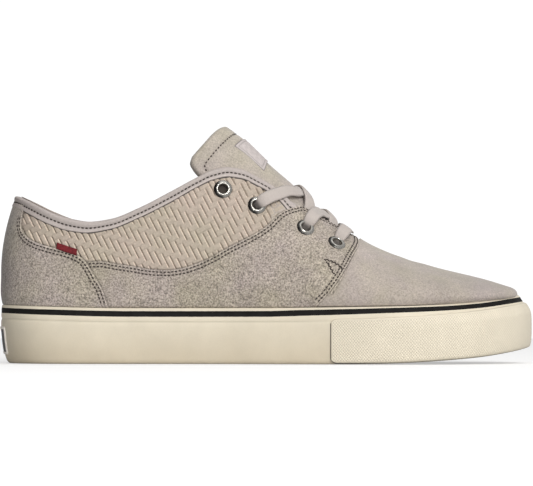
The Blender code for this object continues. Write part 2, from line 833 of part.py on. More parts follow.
def build_tag(coll, mat):
    (_, x0, z0), (_, x1, z1) = SIDE_TAG
    verts = []
    cols = 6
    for i in range(cols):
        f = i / (cols - 1)
        x, z = x0 + (x1 - x0) * f, z0 + (z1 - z0) * f
        ring = []
        for dz in (-TAG_HEIGHT / 2, TAG_HEIGHT / 2):
            q, t = find(-1, x, z + dz)
            p = last_point(-1, q, t)
            n = normal_at(-1, q, t)
            ring.append((p + n * GAP, p + n * (GAP + TAG_T)))
        verts += [ring[0][0], ring[0][1], ring[1][1], ring[1][0]]
    faces = grid_faces(cols, 4, False, True)
    faces += [(0, 1, 2, 3), tuple(range(4 * cols - 4, 4 * cols))[::-1]]
    mesh_object("side_tag", verts, faces, mat, coll)


def main():
    start_clean()
    coll = collection("skateboarding_shoe")
    cutters = collection("cutters")
    rubber = material("cream_rubber", (0.72, 0.65, 0.50), 0.55)
    dark = material("dark_label", (0.05, 0.04, 0.04), 0.5)
    suede = material("grey_suede", (0.36, 0.33, 0.30), 0.95)
    lining = material("insole_fabric", (0.42, 0.39, 0.35), 0.9)
    metal = material("eyelet_metal", (0.62, 0.61, 0.58), 0.3, 1.0)
    cord = material("lace_weave", (0.46, 0.41, 0.37), 0.9)
    red = material("red_tab", (0.45, 0.02, 0.03), 0.7)
    foxing, sole = build_sole(coll, rubber)
    channel_cutters(sole, cutters)
    build_wraps(coll, rubber, dark)
    build_insole(coll, lining)
    build_upper(coll, cutters, suede)
    build_tongue(coll, suede)
    build_eyelets(coll, metal)
    build_lace(coll, cutters, cord)
    build_tag(coll, red)
    for ob in bpy.data.objects:
        ob.location = (CENTRE[0] * MM, CENTRE[1] * MM, 0.0)


main()
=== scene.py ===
"""Looks of the skateboarding shoe: suede, embossed weave, padded collar, cream rubber
sidewall, flat laces. Sizes are in millimetres in the shoe's own frame (+X toe, +Z up,
lateral side at -Y); mesh points are written in metres, shifted by CENTRE.
"""
import math

import bmesh
import bpy
import numpy as np
from mathutils import Matrix, Vector


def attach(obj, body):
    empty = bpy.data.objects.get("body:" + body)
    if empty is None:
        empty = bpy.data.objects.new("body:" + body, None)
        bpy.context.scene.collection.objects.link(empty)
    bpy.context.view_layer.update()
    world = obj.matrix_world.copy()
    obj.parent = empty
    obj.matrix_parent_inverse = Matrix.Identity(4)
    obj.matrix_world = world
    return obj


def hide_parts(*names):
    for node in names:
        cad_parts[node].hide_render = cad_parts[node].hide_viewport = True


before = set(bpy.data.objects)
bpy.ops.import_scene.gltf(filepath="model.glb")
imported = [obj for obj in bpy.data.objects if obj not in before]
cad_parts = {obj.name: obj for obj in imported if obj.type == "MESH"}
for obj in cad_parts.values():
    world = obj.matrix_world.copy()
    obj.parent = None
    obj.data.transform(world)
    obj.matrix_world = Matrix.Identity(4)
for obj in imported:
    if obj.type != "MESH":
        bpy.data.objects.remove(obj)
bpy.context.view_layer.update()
MM = 0.001
rng = np.random.default_rng(7)

# ----------------------------------------------------------------- driving sizes
GAP = 0.35              # clearance between neighbouring pieces
FOXING_T = 2.4          # sidewall tape thickness
WALL_T = 2.0            # upper wall thickness
BUMPER_T = 0.9          # toe bumper thickness
LABEL_T = 0.9           # heel label thickness
INSOLE_T = 4.5          # insole thickness
INSOLE_CUP = 2.5        # rise of the insole edge at the heel
TONGUE_T = 4.2          # tongue thickness
TONGUE_GAP = 0.7        # clearance of the tongue under the quarters
EYELET_R = 4.9          # eyelet flange radius
EYELET_BARREL_R = 3.3   # eyelet barrel outer radius
EYELET_HOLE_R = 2.7     # clear hole of an eyelet
LACE_W = 7.4            # flat lace width
LACE_T = 1.2            # flat lace thickness
CENTRE = (0.53, 0.68)   # shift that puts the origin at the middle of the footprint

# plan outline of the sidewall, from the heel round the lateral side to the toe and back
OUTLINE = [
    # name              x       y
    ("heel_back",    -148.4,    0.0),
    ("heel_lat_1",   -144.2,  -17.5),
    ("heel_lat_2",   -131.0,  -31.5),
    ("heel_lat_3",   -108.0,  -38.0),
    ("waist_lat_1",   -72.0,  -39.5),
    ("waist_lat_2",   -32.0,  -41.5),
    ("ball_lat_1",      8.0,  -46.5),
    ("ball_lat_2",     44.0,  -52.0),
    ("ball_lat_3",     76.0,  -53.0),
    ("toe_lat_1",     103.0,  -47.5),
    ("toe_lat_2",     125.0,  -35.5),
    ("toe_lat_3",     140.5,  -17.5),
    ("toe_tip",       147.3,    4.0),
    ("toe_med_1",     143.2,   22.0),
    ("toe_med_2",     130.0,   37.5),
    ("toe_med_3",     107.0,   48.5),
    ("ball_med_1",     78.0,   52.0),
    ("ball_med_2",     48.0,   49.0),
    ("waist_med_1",    12.0,   40.5),
    ("waist_med_2",   -28.0,   34.5),
    ("waist_med_3",   -70.0,   35.0),
    ("heel_med_1",   -107.0,   36.5),
    ("heel_med_2",   -131.0,   30.0),
    ("heel_med_3",   -144.4,   16.5),
]

# heights along the shoe
HEIGHTS = [
    # x       sole underside  sidewall top  footbed board
    (-148.5,       0.0,           32.6,         17.0),
    (-120.0,       0.0,           31.7,         17.0),
    (-90.0,        0.0,           31.0,         16.8),
    (-60.0,        0.0,           30.9,         16.5),
    (0.0,          0.0,           31.0,         14.5),
    (42.0,         0.0,           31.5,         12.8),
    (62.0,         0.2,           31.8,         12.6),
    (80.0,         0.8,           32.2,         12.9),
    (97.0,         1.8,           32.9,         13.8),
    (120.0,        3.7,           34.4,         15.6),
    (141.0,        6.9,           37.0,         17.8),
    (148.5,        8.6,           38.0,         18.8),
]

# how far the sidewall stands in from the outline, by fraction of its height
SIDEWALL = [
    # fraction  heel   side   toe
    (0.00,      4.0,   1.0,   1.6),
    (0.06,      3.0,   0.4,   0.7),
    (0.14,      2.2,   0.2,   0.3),
    (0.28,      1.3,   0.0,   0.0),
    (0.50,      0.5,   0.0,   0.0),
    (0.66,      0.0,   0.0,   0.3),
    (0.78,      0.1,   0.2,   1.7),
    (0.90,      0.0,   0.5,   4.0),
    (1.00,      0.5,   1.0,   6.0),
]

# centre ridge of the last; the part ahead of the throat is the real vamp line
RIDGE = [
    # x        y      z
    (-75.0,    0.0,  152.0),
    (-60.0,    0.0,  151.0),
    (-45.0,    0.0,  147.5),
    (-32.0,    0.2,  142.0),
    (-22.7,    0.5,  136.0),
    (-12.0,    0.8,  128.3),
    (0.0,      1.2,  116.9),
    (13.7,     1.8,  103.9),
    (28.0,     2.4,   89.9),
    (41.0,     2.8,   77.6),
    (46.5,     3.0,   73.4),
    (52.4,     3.2,   69.8),
    (58.0,     3.3,   66.5),
    (64.0,     3.4,   63.6),
    (75.0,     3.6,   59.3),
    (86.0,     3.8,   55.9),
    (97.0,     3.9,   52.8),
    (108.0,    4.0,   50.2),
    (120.0,    4.0,   47.9),
    (131.0,    4.0,   45.9),
    (143.0,    4.0,   43.8),
]

# shape of the sections, by station (share of the way from heel back to toe tip);
# side and crown are the pulls of the section curve at the widest line and at the ridge
SECTIONS = [
    # station  ridge x  bulge inset  bulge z   side   crown
    (0.00,     -73.0,      0.3,       50.0,    0.42,   0.60),
    (0.10,     -70.0,      1.2,       48.0,    0.38,   0.70),
    (0.20,     -61.0,      2.6,       46.0,    0.32,   0.85),
    (0.30,     -45.5,      3.2,       44.0,    0.27,   0.90),
    (0.40,     -25.5,      3.2,       42.0,    0.25,   0.85),
    (0.50,       0.0,      3.0,       40.0,    0.22,   0.70),
    (0.60,      28.5,      2.6,       39.0,    0.24,   0.52),
    (0.70,      56.0,      2.4,       38.5,    0.38,   0.50),
    (0.80,      78.0,      3.0,       37.5,    0.45,   0.60),
    (0.90,      93.5,      4.6,       37.6,    0.50,   0.75),
    (1.00,     103.0,      8.4,       38.2,    0.50,   0.88),
]

# top edge of the upper: collar, then the edge of the lacing opening
TOPLINE = [
    # x         z
    (-139.5,   94.0),
    (-131.5,   90.3),
    (-119.7,   84.7),
    (-108.0,   80.4),
    (-98.0,    78.7),
    (-86.5,    80.2),
    (-70.0,    86.8),
    (-53.0,    95.7),
    (-38.0,   103.8),
    (-30.0,   107.6),
    (-22.0,   109.2),
    (-14.0,   107.9),
    (-5.0,    103.6),
    (3.0,      99.0),
    (9.0,      94.6),
    (14.0,     90.0),
    (20.0,     87.2),
    (30.0,     81.4),
    (40.2,     75.6),
    (47.4,     71.3),
    (51.0,     69.4),
    (52.4,     68.4),
]
THROAT_X = 52.4

# eyelets of one side, from the collar down
EYELETS = [
    # name   x       z
    ("1",  -24.2,   96.9),
    ("2",   -5.3,   87.9),
    ("3",   21.5,   75.2),
    ("4",   38.8,   66.6),
]

# tongue: centre line station and where its side edges lie, seen from the side
TONGUE = [
    # share   ridge x   edge x   edge z
    (0.00,     63.0,     60.0,    55.5),
    (0.15,     50.0,     46.0,    61.5),
    (0.35,     31.0,     25.0,    70.5),
    (0.60,      7.0,     -4.0,    84.0),
    (0.75,     -6.0,    -21.0,    92.5),
    (0.87,    -15.5,    -34.5,   102.5),
    (0.95,    -20.6,    -40.8,   109.5),
    (0.985,   -21.8,    -42.2,   113.2),
    (1.00,    -22.0,    -41.0,   117.0),
]
# red tab sewn into the heel seam, its four corners seen from the side
SIDE_TAG = [
    # name     x        z
    ("rear",  -115.4,   65.2),
    ("front", -104.2,   61.5),
]
TAG_HEIGHT = 3.2
TAG_T = 0.8
# ----------------------------------------------------------------- curve helpers
def pchip(xs, ys):
    """Shape-keeping cubic through the rows of a table."""
    xs = np.asarray(xs, float)
    ys = np.asarray(ys, float)
    h = np.diff(xs)
    d = np.diff(ys) / h
    m = np.zeros_like(ys)
    for i in range(1, len(xs) - 1):
        if d[i - 1] * d[i] > 0:
            w1 = 2 * h[i] + h[i - 1]
            w2 = h[i] + 2 * h[i - 1]
            m[i] = (w1 + w2) / (w1 / d[i - 1] + w2 / d[i])
    m[0], m[-1] = d[0], d[-1]

    def f(x):
        x = np.clip(np.asarray(x, float), xs[0], xs[-1])
        i = np.clip(np.searchsorted(xs, x) - 1, 0, len(h) - 1)
        t = (x - xs[i]) / h[i]
        return ((1 + 2 * t) * (1 - t) ** 2 * ys[i] + t * (1 - t) ** 2 * h[i] * m[i]
                + t * t * (3 - 2 * t) * ys[i + 1] + t * t * (t - 1) * h[i] * m[i + 1])
    return f


def closed_spline(pts, per=96):
    """Dense points of a closed smooth curve through pts, with the index of each row."""
    pts = np.asarray(pts, float)
    n = len(pts)
    step = np.linalg.norm(np.roll(pts, -1, axis=0) - pts, axis=1)
    a = np.zeros((n, n))
    b = np.zeros((n, 2))
    for i in range(n):
        hp, hn = step[i - 1], step[i]
        a[i, i - 1] = hn
        a[i, i] = 2 * (hp + hn)
        a[i, (i + 1) % n] = hp
        b[i] = 3 * (hn / hp * (pts[i] - pts[i - 1]) + hp / hn * (pts[(i + 1) % n] - pts[i]))
    m = np.linalg.solve(a, b)
    out = []
    for i in range(n):
        j = (i + 1) % n
        t = np.linspace(0, 1, per, endpoint=False)[:, None]
        out.append((1 + 2 * t) * (1 - t) ** 2 * pts[i] + t * (1 - t) ** 2 * step[i] * m[i]
                   + t * t * (3 - 2 * t) * pts[j] + t * t * (t - 1) * step[i] * m[j])
    return np.vstack(out), per


def smooth(x, a, b):
    t = np.clip((np.asarray(x, float) - a) / (b - a), 0, 1)
    return t * t * (3 - 2 * t)


_h = np.array(HEIGHTS)
z_under = pchip(_h[:, 0], _h[:, 1])
z_side = pchip(_h[:, 0], _h[:, 2])
z_board = pchip(_h[:, 0], _h[:, 3])
_s = np.array(SIDEWALL)
side_heel = pchip(_s[:, 0], _s[:, 1])
side_mid = pchip(_s[:, 0], _s[:, 2])
side_toe = pchip(_s[:, 0], _s[:, 3])
_r = np.array(RIDGE)
ridge_y = pchip(_r[:, 0], _r[:, 1])
ridge_z = pchip(_r[:, 0], _r[:, 2])
_c = np.array(SECTIONS)
sec_ridge = pchip(_c[:, 0], _c[:, 1])
sec_inset = pchip(_c[:, 0], _c[:, 2])
sec_bulge = pchip(_c[:, 0], _c[:, 3])
sec_side = pchip(_c[:, 0], _c[:, 4])
sec_crown = pchip(_c[:, 0], _c[:, 5])
_t = np.array(TOPLINE)
topline_z = pchip(_t[:, 0], _t[:, 1])

_dense, _per = closed_spline([(r[1], r[2]) for r in OUTLINE])
_tip = [r[0] for r in OUTLINE].index("toe_tip") * _per
_lat = _dense[:_tip + 1]
_med = np.vstack([_dense[_tip:], _dense[:1]])[::-1]


def _by_length(line):
    s = np.concatenate([[0], np.cumsum(np.linalg.norm(np.diff(line, axis=0), axis=1))])
    return s / s[-1], line



# ----------------------------------------------------------------- the last, vectorised
# w runs 0 heel back -> 1 toe tip on the lateral side and on to 2 round the medial side;
# t -1..0 is tucked in the sidewall, 0..1 up to the widest line, 1..2 over to the ridge,
# and 2..4 down the other side
_ls, _ll = _by_length(_lat)
_ms, _ml = _by_length(_med)
_W = np.concatenate([_ls, 2 - _ms[::-1][1:]])
_X = np.concatenate([_ll[:, 0], _ml[::-1][1:, 0]])
_Y = np.concatenate([_ll[:, 1], _ml[::-1][1:, 1]])


def plan(w):
    """Outline point and inward normal at w."""
    w = np.asarray(w, float)

    def at(k):
        return np.interp(k % 2, _W, _X), np.interp(k % 2, _W, _Y)
    x, y = at(w)
    x1, y1 = at(w + 0.004)
    x0, y0 = at(w - 0.004)
    tx, ty = x1 - x0, y1 - y0
    n = np.hypot(tx, ty)
    return x, y, -ty / n, tx / n


def side_inset(x, frac):
    heel = 1 - smooth(x, -146, -112)
    toe = smooth(x, 62, 143)
    return (side_mid(frac) * (1 - heel) * (1 - toe) + side_heel(frac) * heel + side_toe(frac) * toe)


def side_skin(w, frac, out=0.0):
    """Point of the sidewall's outer face, moved outward by out."""
    w, frac = np.broadcast_arrays(np.asarray(w, float), np.asarray(frac, float))
    x, y, nx, ny = plan(w)
    d = side_inset(x, np.clip(frac, 0, 1)) - out
    z = z_under(x) + frac * (z_side(x) - z_under(x))
    return np.stack([x + nx * d, y + ny * d, z], -1)


def raw(w, t):
    """Skin of the last."""
    w, t = np.broadcast_arrays(np.asarray(w, float), np.asarray(t, float))
    over = t > 2
    w = np.where(over, 2 - w, w) % 2
    t = np.where(over, 4 - t, t)
    q = np.where(w <= 1, w, 2 - w)
    x, y, nx, ny = plan(w)
    zt = z_side(x)
    zb = np.maximum(sec_bulge(q), zt + 0.5)
    d_top = side_inset(x, 1.0) + FOXING_T + GAP
    d_b = sec_inset(q)
    z_a = zt + t * (zt - z_board(x) - GAP)
    fr = np.clip((z_a - z_under(x)) / (zt - z_under(x)), 0, 1)
    d_a = side_inset(x, fr) + FOXING_T + GAP
    tt = np.clip(t, 0, 1)
    d_c = d_b + (d_top - d_b) * (1 - tt) ** 2
    d = np.where(t <= 0, d_a, d_c)
    z = np.where(t <= 0, z_a, zt + tt * (zb - zt))
    u = np.clip(t - 1, 0, 1)
    rx = sec_ridge(q)
    ry = ridge_y(rx)
    h = (1 - u) ** 3 + 3 * (1 - u) ** 2 * u + 3 * (1 - u) * u * u * sec_crown(q)
    s = 3 * (1 - u) ** 2 * u * sec_side(q) + 3 * (1 - u) * u * u + u ** 3
    ox = rx + (x + nx * d_b - rx) * h
    oy = ry + (y + ny * d_b - ry) * h
    oz = zb + (ridge_z(ox) - zb) * s
    up = t > 1
    return np.stack([np.where(up, ox, x + nx * d), np.where(up, oy, y + ny * d),
                     np.where(up, oz, z)], -1)


def unit(v):
    return v / np.maximum(np.linalg.norm(v, axis=-1, keepdims=True), 1e-9)


def skin_n(w, t):
    """Outward normal of the last."""
    w, t = np.broadcast_arrays(np.asarray(w, float), np.asarray(t, float))
    over = t > 2
    w = np.where(over, 2 - w, w)
    t = np.where(over, 4 - t, t)
    tn = np.minimum(t, 1.96)

    def n_at(a):
        e = 0.005
        return unit(np.cross(raw(a + e, tn) - raw(a - e, tn), raw(a, tn + e) - raw(a, tn - e)))
    b = (np.clip((t - 1.90) / 0.10, 0, 1) * 0.5)[..., None]
    return unit(n_at(w) * (1 - b) + n_at(2 - w) * b)


def skin(w, t, lift=0.0):
    lift = np.asarray(lift, float)
    return raw(w, t) + skin_n(w, t) * (lift[..., None] if lift.ndim else lift)


# the photograph's view: level, far away, at the height of the shoe's middle
CAM_D, CAM_F, CAM_U, CAM_V, CAM_Z = 4000.0, 7144.0, 266.5, 243.0, 67.0


def project(p):
    k = CAM_F / (CAM_D + p[..., 1])
    return CAM_U + k * p[..., 0], CAM_V - k * (p[..., 2] - CAM_Z)


def solve_wt(goal, side, measure, lift=0.0):
    """w, t of the skin points whose measure (two numbers) is goal."""
    goal = np.asarray(goal, float)
    x = (goal[:, 0] - CAM_U) / 1.8 if measure is project else goal[:, 0]
    q = np.clip((x + 148) / 296, 0.05, 0.93)
    t = np.full(len(q), 1.35)

    def f(q, t):
        w = q if side < 0 else 2 - q
        p = skin(w, t, lift) if np.any(lift) else raw(w, t)
        return np.stack(measure(p), -1)
    for _ in range(70):
        a = f(q, t)
        e = goal - a
        jq = (f(q + 1e-3, t) - a) / 1e-3
        jt = (f(q, t + 1e-3) - a) / 1e-3
        det = jq[:, 0] * jt[:, 1] - jq[:, 1] * jt[:, 0]
        det = np.where(np.abs(det) < 1e-6, 1e-6, det)
        dq = (e[:, 0] * jt[:, 1] - e[:, 1] * jt[:, 0]) / det
        dt = (jq[:, 0] * e[:, 1] - jq[:, 1] * e[:, 0]) / det
        q = np.clip(q + np.clip(dq, -0.04, 0.04), -0.02, 0.985)
        t = np.clip(t + np.clip(dt, -0.08, 0.08), -0.5, 1.985)
    return (q if side < 0 else 2 - q), t


def find_px(px, lift=0.0):
    return solve_wt(px, -1, project, lift)


def find_xz(side, xz):
    return solve_wt(xz, side, lambda p: (p[..., 0], p[..., 2]))


def run_length(p):
    return np.concatenate([[0], np.cumsum(np.linalg.norm(np.diff(p, axis=0), axis=1))])


def curve(rows, n):
    """n points on a smooth curve through short table rows."""
    rows = np.asarray(rows, float)
    s = run_length(rows)
    k = np.linspace(0, s[-1], n)
    return np.stack([pchip(s, rows[:, i])(k) for i in range(rows.shape[1])], -1)


def line_on_skin(px, step, lift=0.0):
    """w, t at equal spacing along a seam given by its points in the photograph."""
    uv = curve(px, 260)
    w, t = find_px(uv, lift)
    s = run_length(raw(w, t))
    n = max(int(s[-1] / step), 4)
    k = np.linspace(0, s[-1], n + 1)
    return np.interp(k, s, w), np.interp(k, s, t)


def shift_on_skin(w, t, dist):
    """The same line moved sideways over the skin: positive goes to the line's right."""
    e = 2e-3
    p = raw(w, t)
    tan = unit(np.gradient(p, axis=0))
    n = skin_n(w, t)
    b = unit(np.cross(tan, n)) * dist
    goal = p + b
    for _ in range(14):
        r = goal - raw(w, t)
        pw = (raw(w + e, t) - raw(w - e, t)) / (2 * e)
        pt = (raw(w, t + e) - raw(w, t - e)) / (2 * e)
        a11, a12, a22 = (pw * pw).sum(-1), (pw * pt).sum(-1), (pt * pt).sum(-1)
        b1, b2 = (pw * r).sum(-1), (pt * r).sum(-1)
        det = np.maximum(a11 * a22 - a12 * a12, 1e-6)
        w = w + np.clip((b1 * a22 - b2 * a12) / det, -0.02, 0.02)
        t = np.clip(t + np.clip((a11 * b2 - a12 * b1) / det, -0.15, 0.15), -1, 2)
    return w, t


def mirrored(w):
    return 2 - w


def near(p, line):
    """Distance of points p to a polyline."""
    shape = p.shape[:-1]
    q = p.reshape(-1, 3)
    a, b = line[:-1], line[1:]
    ab = b - a
    l2 = np.maximum((ab * ab).sum(-1), 1e-9)
    out = np.empty(len(q))
    for i in range(0, len(q), 3000):
        c = q[i:i + 3000, None, :]
        k = np.clip(((c - a) * ab).sum(-1) / l2, 0, 1)
        d = c - a - k[..., None] * ab
        out[i:i + 3000] = np.sqrt((d * d).sum(-1)).min(-1)
    return out.reshape(shape)


# top edge of the upper at each w, found once on a fine table
def _cut_table():
    qs = np.unique(np.concatenate([np.linspace(0, 1, 501), np.linspace(0.66, 0.72, 241)]))
    out = {}
    for side in (-1, 1):
        w = qs if side < 0 else 2 - qs
        lo, hi = np.ones_like(qs), np.full_like(qs, 2.0)
        found = np.zeros(len(qs), bool)
        for k in range(1, 61):
            t = 1 + k / 60
            p = raw(w, t)
            op = (p[:, 0] < THROAT_X) & (p[:, 2] > topline_z(p[:, 0])) & (sec_ridge(qs) < THROAT_X - 0.01)
            new = op & ~found
            lo = np.where(new, t - 1 / 60, lo)
            hi = np.where(new, t, hi)
            found |= new
        for _ in range(16):
            mid = (lo + hi) / 2
            p = raw(w, mid)
            op = (p[:, 0] < THROAT_X) & (p[:, 2] > topline_z(p[:, 0]))
            lo = np.where(op, lo, mid)
            hi = np.where(op, mid, hi)
        out[side] = np.where(found, hi, 2.0)
    return qs, out


_cq, _ct = _cut_table()
THROAT_W = float(np.interp(THROAT_X, sec_ridge(np.linspace(0, 1, 4001)), np.linspace(0, 1, 4001)))


def cut_t(w):
    w = np.asarray(w, float) % 2
    q = np.where(w <= 1, w, 2 - w)
    return np.where(w <= 1, np.interp(q, _cq, _ct[-1]), np.interp(q, _cq, _ct[1]))


def down_from(w, t0, a):
    """t reached a millimetres down the skin from t0, per column; a is (n,) or (n, m)."""
    w = np.asarray(w, float)
    k = np.linspace(0, 1, 160)
    hi = np.minimum(t0 + 0.1, 2.0)
    ts = hi[:, None] + (-1.0 - hi[:, None]) * k[None, :]
    p = raw(w[:, None], ts)
    s = np.concatenate([np.zeros((len(w), 1)),
                        np.cumsum(np.linalg.norm(np.diff(p, axis=1), axis=2), axis=1)], 1)
    out = np.empty(a.shape)
    for i in range(len(w)):
        s0 = np.interp(-t0[i], -ts[i], s[i])
        out[i] = np.interp(s0 + a[i], s[i], ts[i])
    return out


# ----------------------------------------------------------------- mesh and material helpers
scene_coll = bpy.data.collections.new("shoe_looks")
bpy.context.scene.collection.children.link(scene_coll)
SHIFT = np.array([CENTRE[0], CENTRE[1], 0.0])


def grid_quads(rows, cols, close_rows=False, close_cols=False, base=0):
    i = np.arange(rows if close_rows else rows - 1)
    j = np.arange(cols if close_cols else cols - 1)
    a = (i[:, None] * cols + j[None, :])
    b = (i[:, None] * cols + ((j + 1) % cols)[None, :])
    i2 = (i + 1) % rows
    c = (i2[:, None] * cols + ((j + 1) % cols)[None, :])
    d = (i2[:, None] * cols + j[None, :])
    return (np.stack([a, b, c, d], -1).reshape(-1, 4) + base)


def make(name, verts, faces, mat, attrs=None, weld=None, outward=None, replaces=(), smooth_shade=True):
    """A piece from millimetre points; outward is a rough outward direction per vertex, used
    to turn the faces the right way round."""
    verts = np.asarray(verts, float).reshape(-1, 3)
    me = bpy.data.meshes.new(name)
    if isinstance(faces, np.ndarray):
        if outward is not None:
            v = verts
            f = faces
            n = np.cross(v[f[:, 2]] - v[f[:, 0]], v[f[:, 3]] - v[f[:, 1]])
            if (n * outward.reshape(-1, 3)[f[:, 0]]).sum() < 0:
                faces = faces[:, ::-1]
        faces = faces.tolist()
    me.from_pydata(((verts + SHIFT) * MM).tolist(), [], faces)
    for key, val in (attrs or {}).items():
        at = me.attributes.new(key, "FLOAT", "POINT")
        at.data.foreach_set("value", np.asarray(val, np.float32).ravel())
    if weld:
        bm = bmesh.new()
        bm.from_mesh(me)
        bmesh.ops.remove_doubles(bm, verts=bm.verts, dist=weld * MM)
        bmesh.ops.dissolve_degenerate(bm, edges=bm.edges, dist=weld * MM * 0.5)
        bm.to_mesh(me)
        bm.free()
    me.update()
    if smooth_shade:
        me.shade_smooth()
    me.materials.append(mat)
    ob = bpy.data.objects.new(name, me)
    scene_coll.objects.link(ob)
    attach(ob, "root")
    if replaces:
        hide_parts(*replaces)
    return ob


class Tree:
    """Small helper to write a node material."""

    def __init__(self, name, color, rough, metal=0.0, sheen=0.0, coat=0.0, coat_rough=0.3, spec=0.5, sheen_rough=0.5):
        self.m = bpy.data.materials.new(name)
        self.m.use_nodes = True
        self.t = self.m.node_tree
        self.b = self.t.nodes["Principled BSDF"]
        self.b.inputs["Base Color"].default_value = (*color, 1)
        self.b.inputs["Roughness"].default_value = rough
        self.b.inputs["Metallic"].default_value = metal
        self.b.inputs["Sheen Weight"].default_value = sheen
        self.b.inputs["Sheen Roughness"].default_value = sheen_rough
        self.b.inputs["Coat Weight"].default_value = coat
        self.b.inputs["Coat Roughness"].default_value = coat_rough
        self.b.inputs["Specular IOR Level"].default_value = spec
        self.tex = self.t.nodes.new("ShaderNodeTexCoord")
        self.map = self.t.nodes.new("ShaderNodeMapping")
        self.map.inputs["Scale"].default_value = (1000, 1000, 1000)
        self.t.links.new(self.tex.outputs["Object"], self.map.inputs["Vector"])
        self.vec = self.map.outputs["Vector"]
        self.color = color
        self.last_normal = None

    def node(self, kind, **props):
        n = self.t.nodes.new(kind)
        for k, v in props.items():
            setattr(n, k, v)
        return n

    def link(self, a, b):
        self.t.links.new(a, b)

    def math(self, op, a, b=None, c=None, clamp=False):
        n = self.node("ShaderNodeMath", operation=op, use_clamp=clamp)
        for i, v in enumerate((a, b, c)):
            if v is None:
                continue
            if isinstance(v, (int, float)):
                n.inputs[i].default_value = v
            else:
                self.link(v, n.inputs[i])
        return n.outputs[0]

    def noise(self, scale, detail=2.0, rough=0.5, stretch=None, distortion=0.0):
        n = self.node("ShaderNodeTexNoise")
        n.inputs["Scale"].default_value = scale
        n.inputs["Detail"].default_value = detail
        n.inputs["Roughness"].default_value = rough
        n.inputs["Distortion"].default_value = distortion
        vec = self.vec
        if stretch:
            m = self.node("ShaderNodeMapping")
            m.inputs["Scale"].default_value = stretch
            self.link(self.vec, m.inputs["Vector"])
            vec = m.outputs["Vector"]
        self.link(vec, n.inputs["Vector"])
        return n.outputs["Fac"]

    def voronoi(self, scale, feature="F1"):
        n = self.node("ShaderNodeTexVoronoi", feature=feature)
        n.inputs["Scale"].default_value = scale
        self.link(self.vec, n.inputs["Vector"])
        return n.outputs["Distance"]

    def attr(self, name):
        n = self.node("ShaderNodeAttribute", attribute_name=name)
        return n.outputs["Fac"]

    def ramp(self, fac, stops, interp="LINEAR"):
        n = self.node("ShaderNodeValToRGB")
        n.color_ramp.interpolation = interp
        el = n.color_ramp.elements
        while len(el) < len(stops):
            el.new(0.5)
        for e, (p, c) in zip(el, stops):
            e.position = p
            e.color = (*c, 1) if len(c) == 3 else c
        self.link(fac, n.inputs["Fac"])
        return n.outputs["Color"]

    def mix(self, a, b, fac, blend="MIX"):
        n = self.node("ShaderNodeMix", data_type="RGBA", blend_type=blend)
        for v, i in ((fac, 0), (a, 6), (b, 7)):
            if isinstance(v, (int, float)):
                n.inputs[i].default_value = v
            elif isinstance(v, tuple):
                n.inputs[i].default_value = (*v, 1)
            else:
                self.link(v, n.inputs[i])
        return n.outputs[2]

    def scaled(self, col, fac):
        """Colour times a grey factor socket."""
        n = self.node("ShaderNodeVectorMath", operation="SCALE")
        if isinstance(col, tuple):
            n.inputs[0].default_value = col
        else:
            self.link(col, n.inputs[0])
        self.link(fac, n.inputs["Scale"])
        return n.outputs[0]

    def spread(self, fac, lo, hi):
        """Map a 0.3..0.7 noise to lo..hi."""
        n = self.node("ShaderNodeMapRange")
        n.inputs["From Min"].default_value = 0.3
        n.inputs["From Max"].default_value = 0.7
        n.inputs["To Min"].default_value = lo
        n.inputs["To Max"].default_value = hi
        self.link(fac, n.inputs["Value"])
        return n.outputs["Result"]

    def bump(self, height, strength, distance):
        n = self.node("ShaderNodeBump")
        n.inputs["Strength"].default_value = strength
        n.inputs["Distance"].default_value = distance * MM
        self.link(height, n.inputs["Height"])
        if self.last_normal is not None:
            self.link(self.last_normal, n.inputs["Normal"])
        self.last_normal = n.outputs["Normal"]
        self.link(self.last_normal, self.b.inputs["Normal"])

    def base(self, col):
        self.link(col, self.b.inputs["Base Color"])

    def rough(self, sock):
        self.link(sock, self.b.inputs["Roughness"])


def suede(name, color, grain=1.0, mottle=1.0, nap=1.0):
    """Short-nap suede: fine nap speckle, soft patches where the nap lies another way."""
    m = Tree(name, color, 0.92, sheen=0.25, sheen_rough=0.5, spec=0.25)
    fine = m.noise(1.10, 2, 0.6)
    mid = m.noise(0.36, 3, 0.6, distortion=0.6)
    wide = m.noise(0.06, 2, 0.5)
    g = m.spread(fine, 1 - 0.56 * grain, 1 + 0.56 * grain)
    g = m.math("MULTIPLY", g, m.spread(mid, 1 - 0.09 * grain, 1 + 0.09 * grain))
    g = m.math("MULTIPLY", g, m.spread(wide, 1 - 0.06 * mottle, 1 + 0.06 * mottle))
    g = m.math("MULTIPLY", g, m.attr("tone"))
    r, gr, b = color
    hue = m.mix((r * 1.02, gr * 0.995, b * 1.04), (r * 1.00, gr * 1.005, b * 0.92),
                m.spread(m.noise(0.045, 2, 0.5), 0.0, 1.0))
    m.base(m.scaled(hue, g))
    m.bump(m.noise(0.6, 3, 0.6), 0.5 * nap, 0.30)
    m.bump(fine, 0.7 * nap, 0.16)
    return m.m


def leather(name, color, rough=0.6, fine=1.0):
    m = Tree(name, color, rough, spec=0.4)
    g = m.spread(m.noise(0.9, 3, 0.6), 1 - 0.09 * fine, 1 + 0.09 * fine)
    g = m.math("MULTIPLY", g, m.spread(m.noise(0.1, 2), 0.97, 1.03))
    g = m.math("MULTIPLY", g, m.attr("tone"))
    m.base(m.scaled(color, g))
    m.bump(m.voronoi(1.3), 0.25 * fine, 0.12)
    m.bump(m.noise(0.5, 3), 0.3 * fine, 0.15)
    return m.m


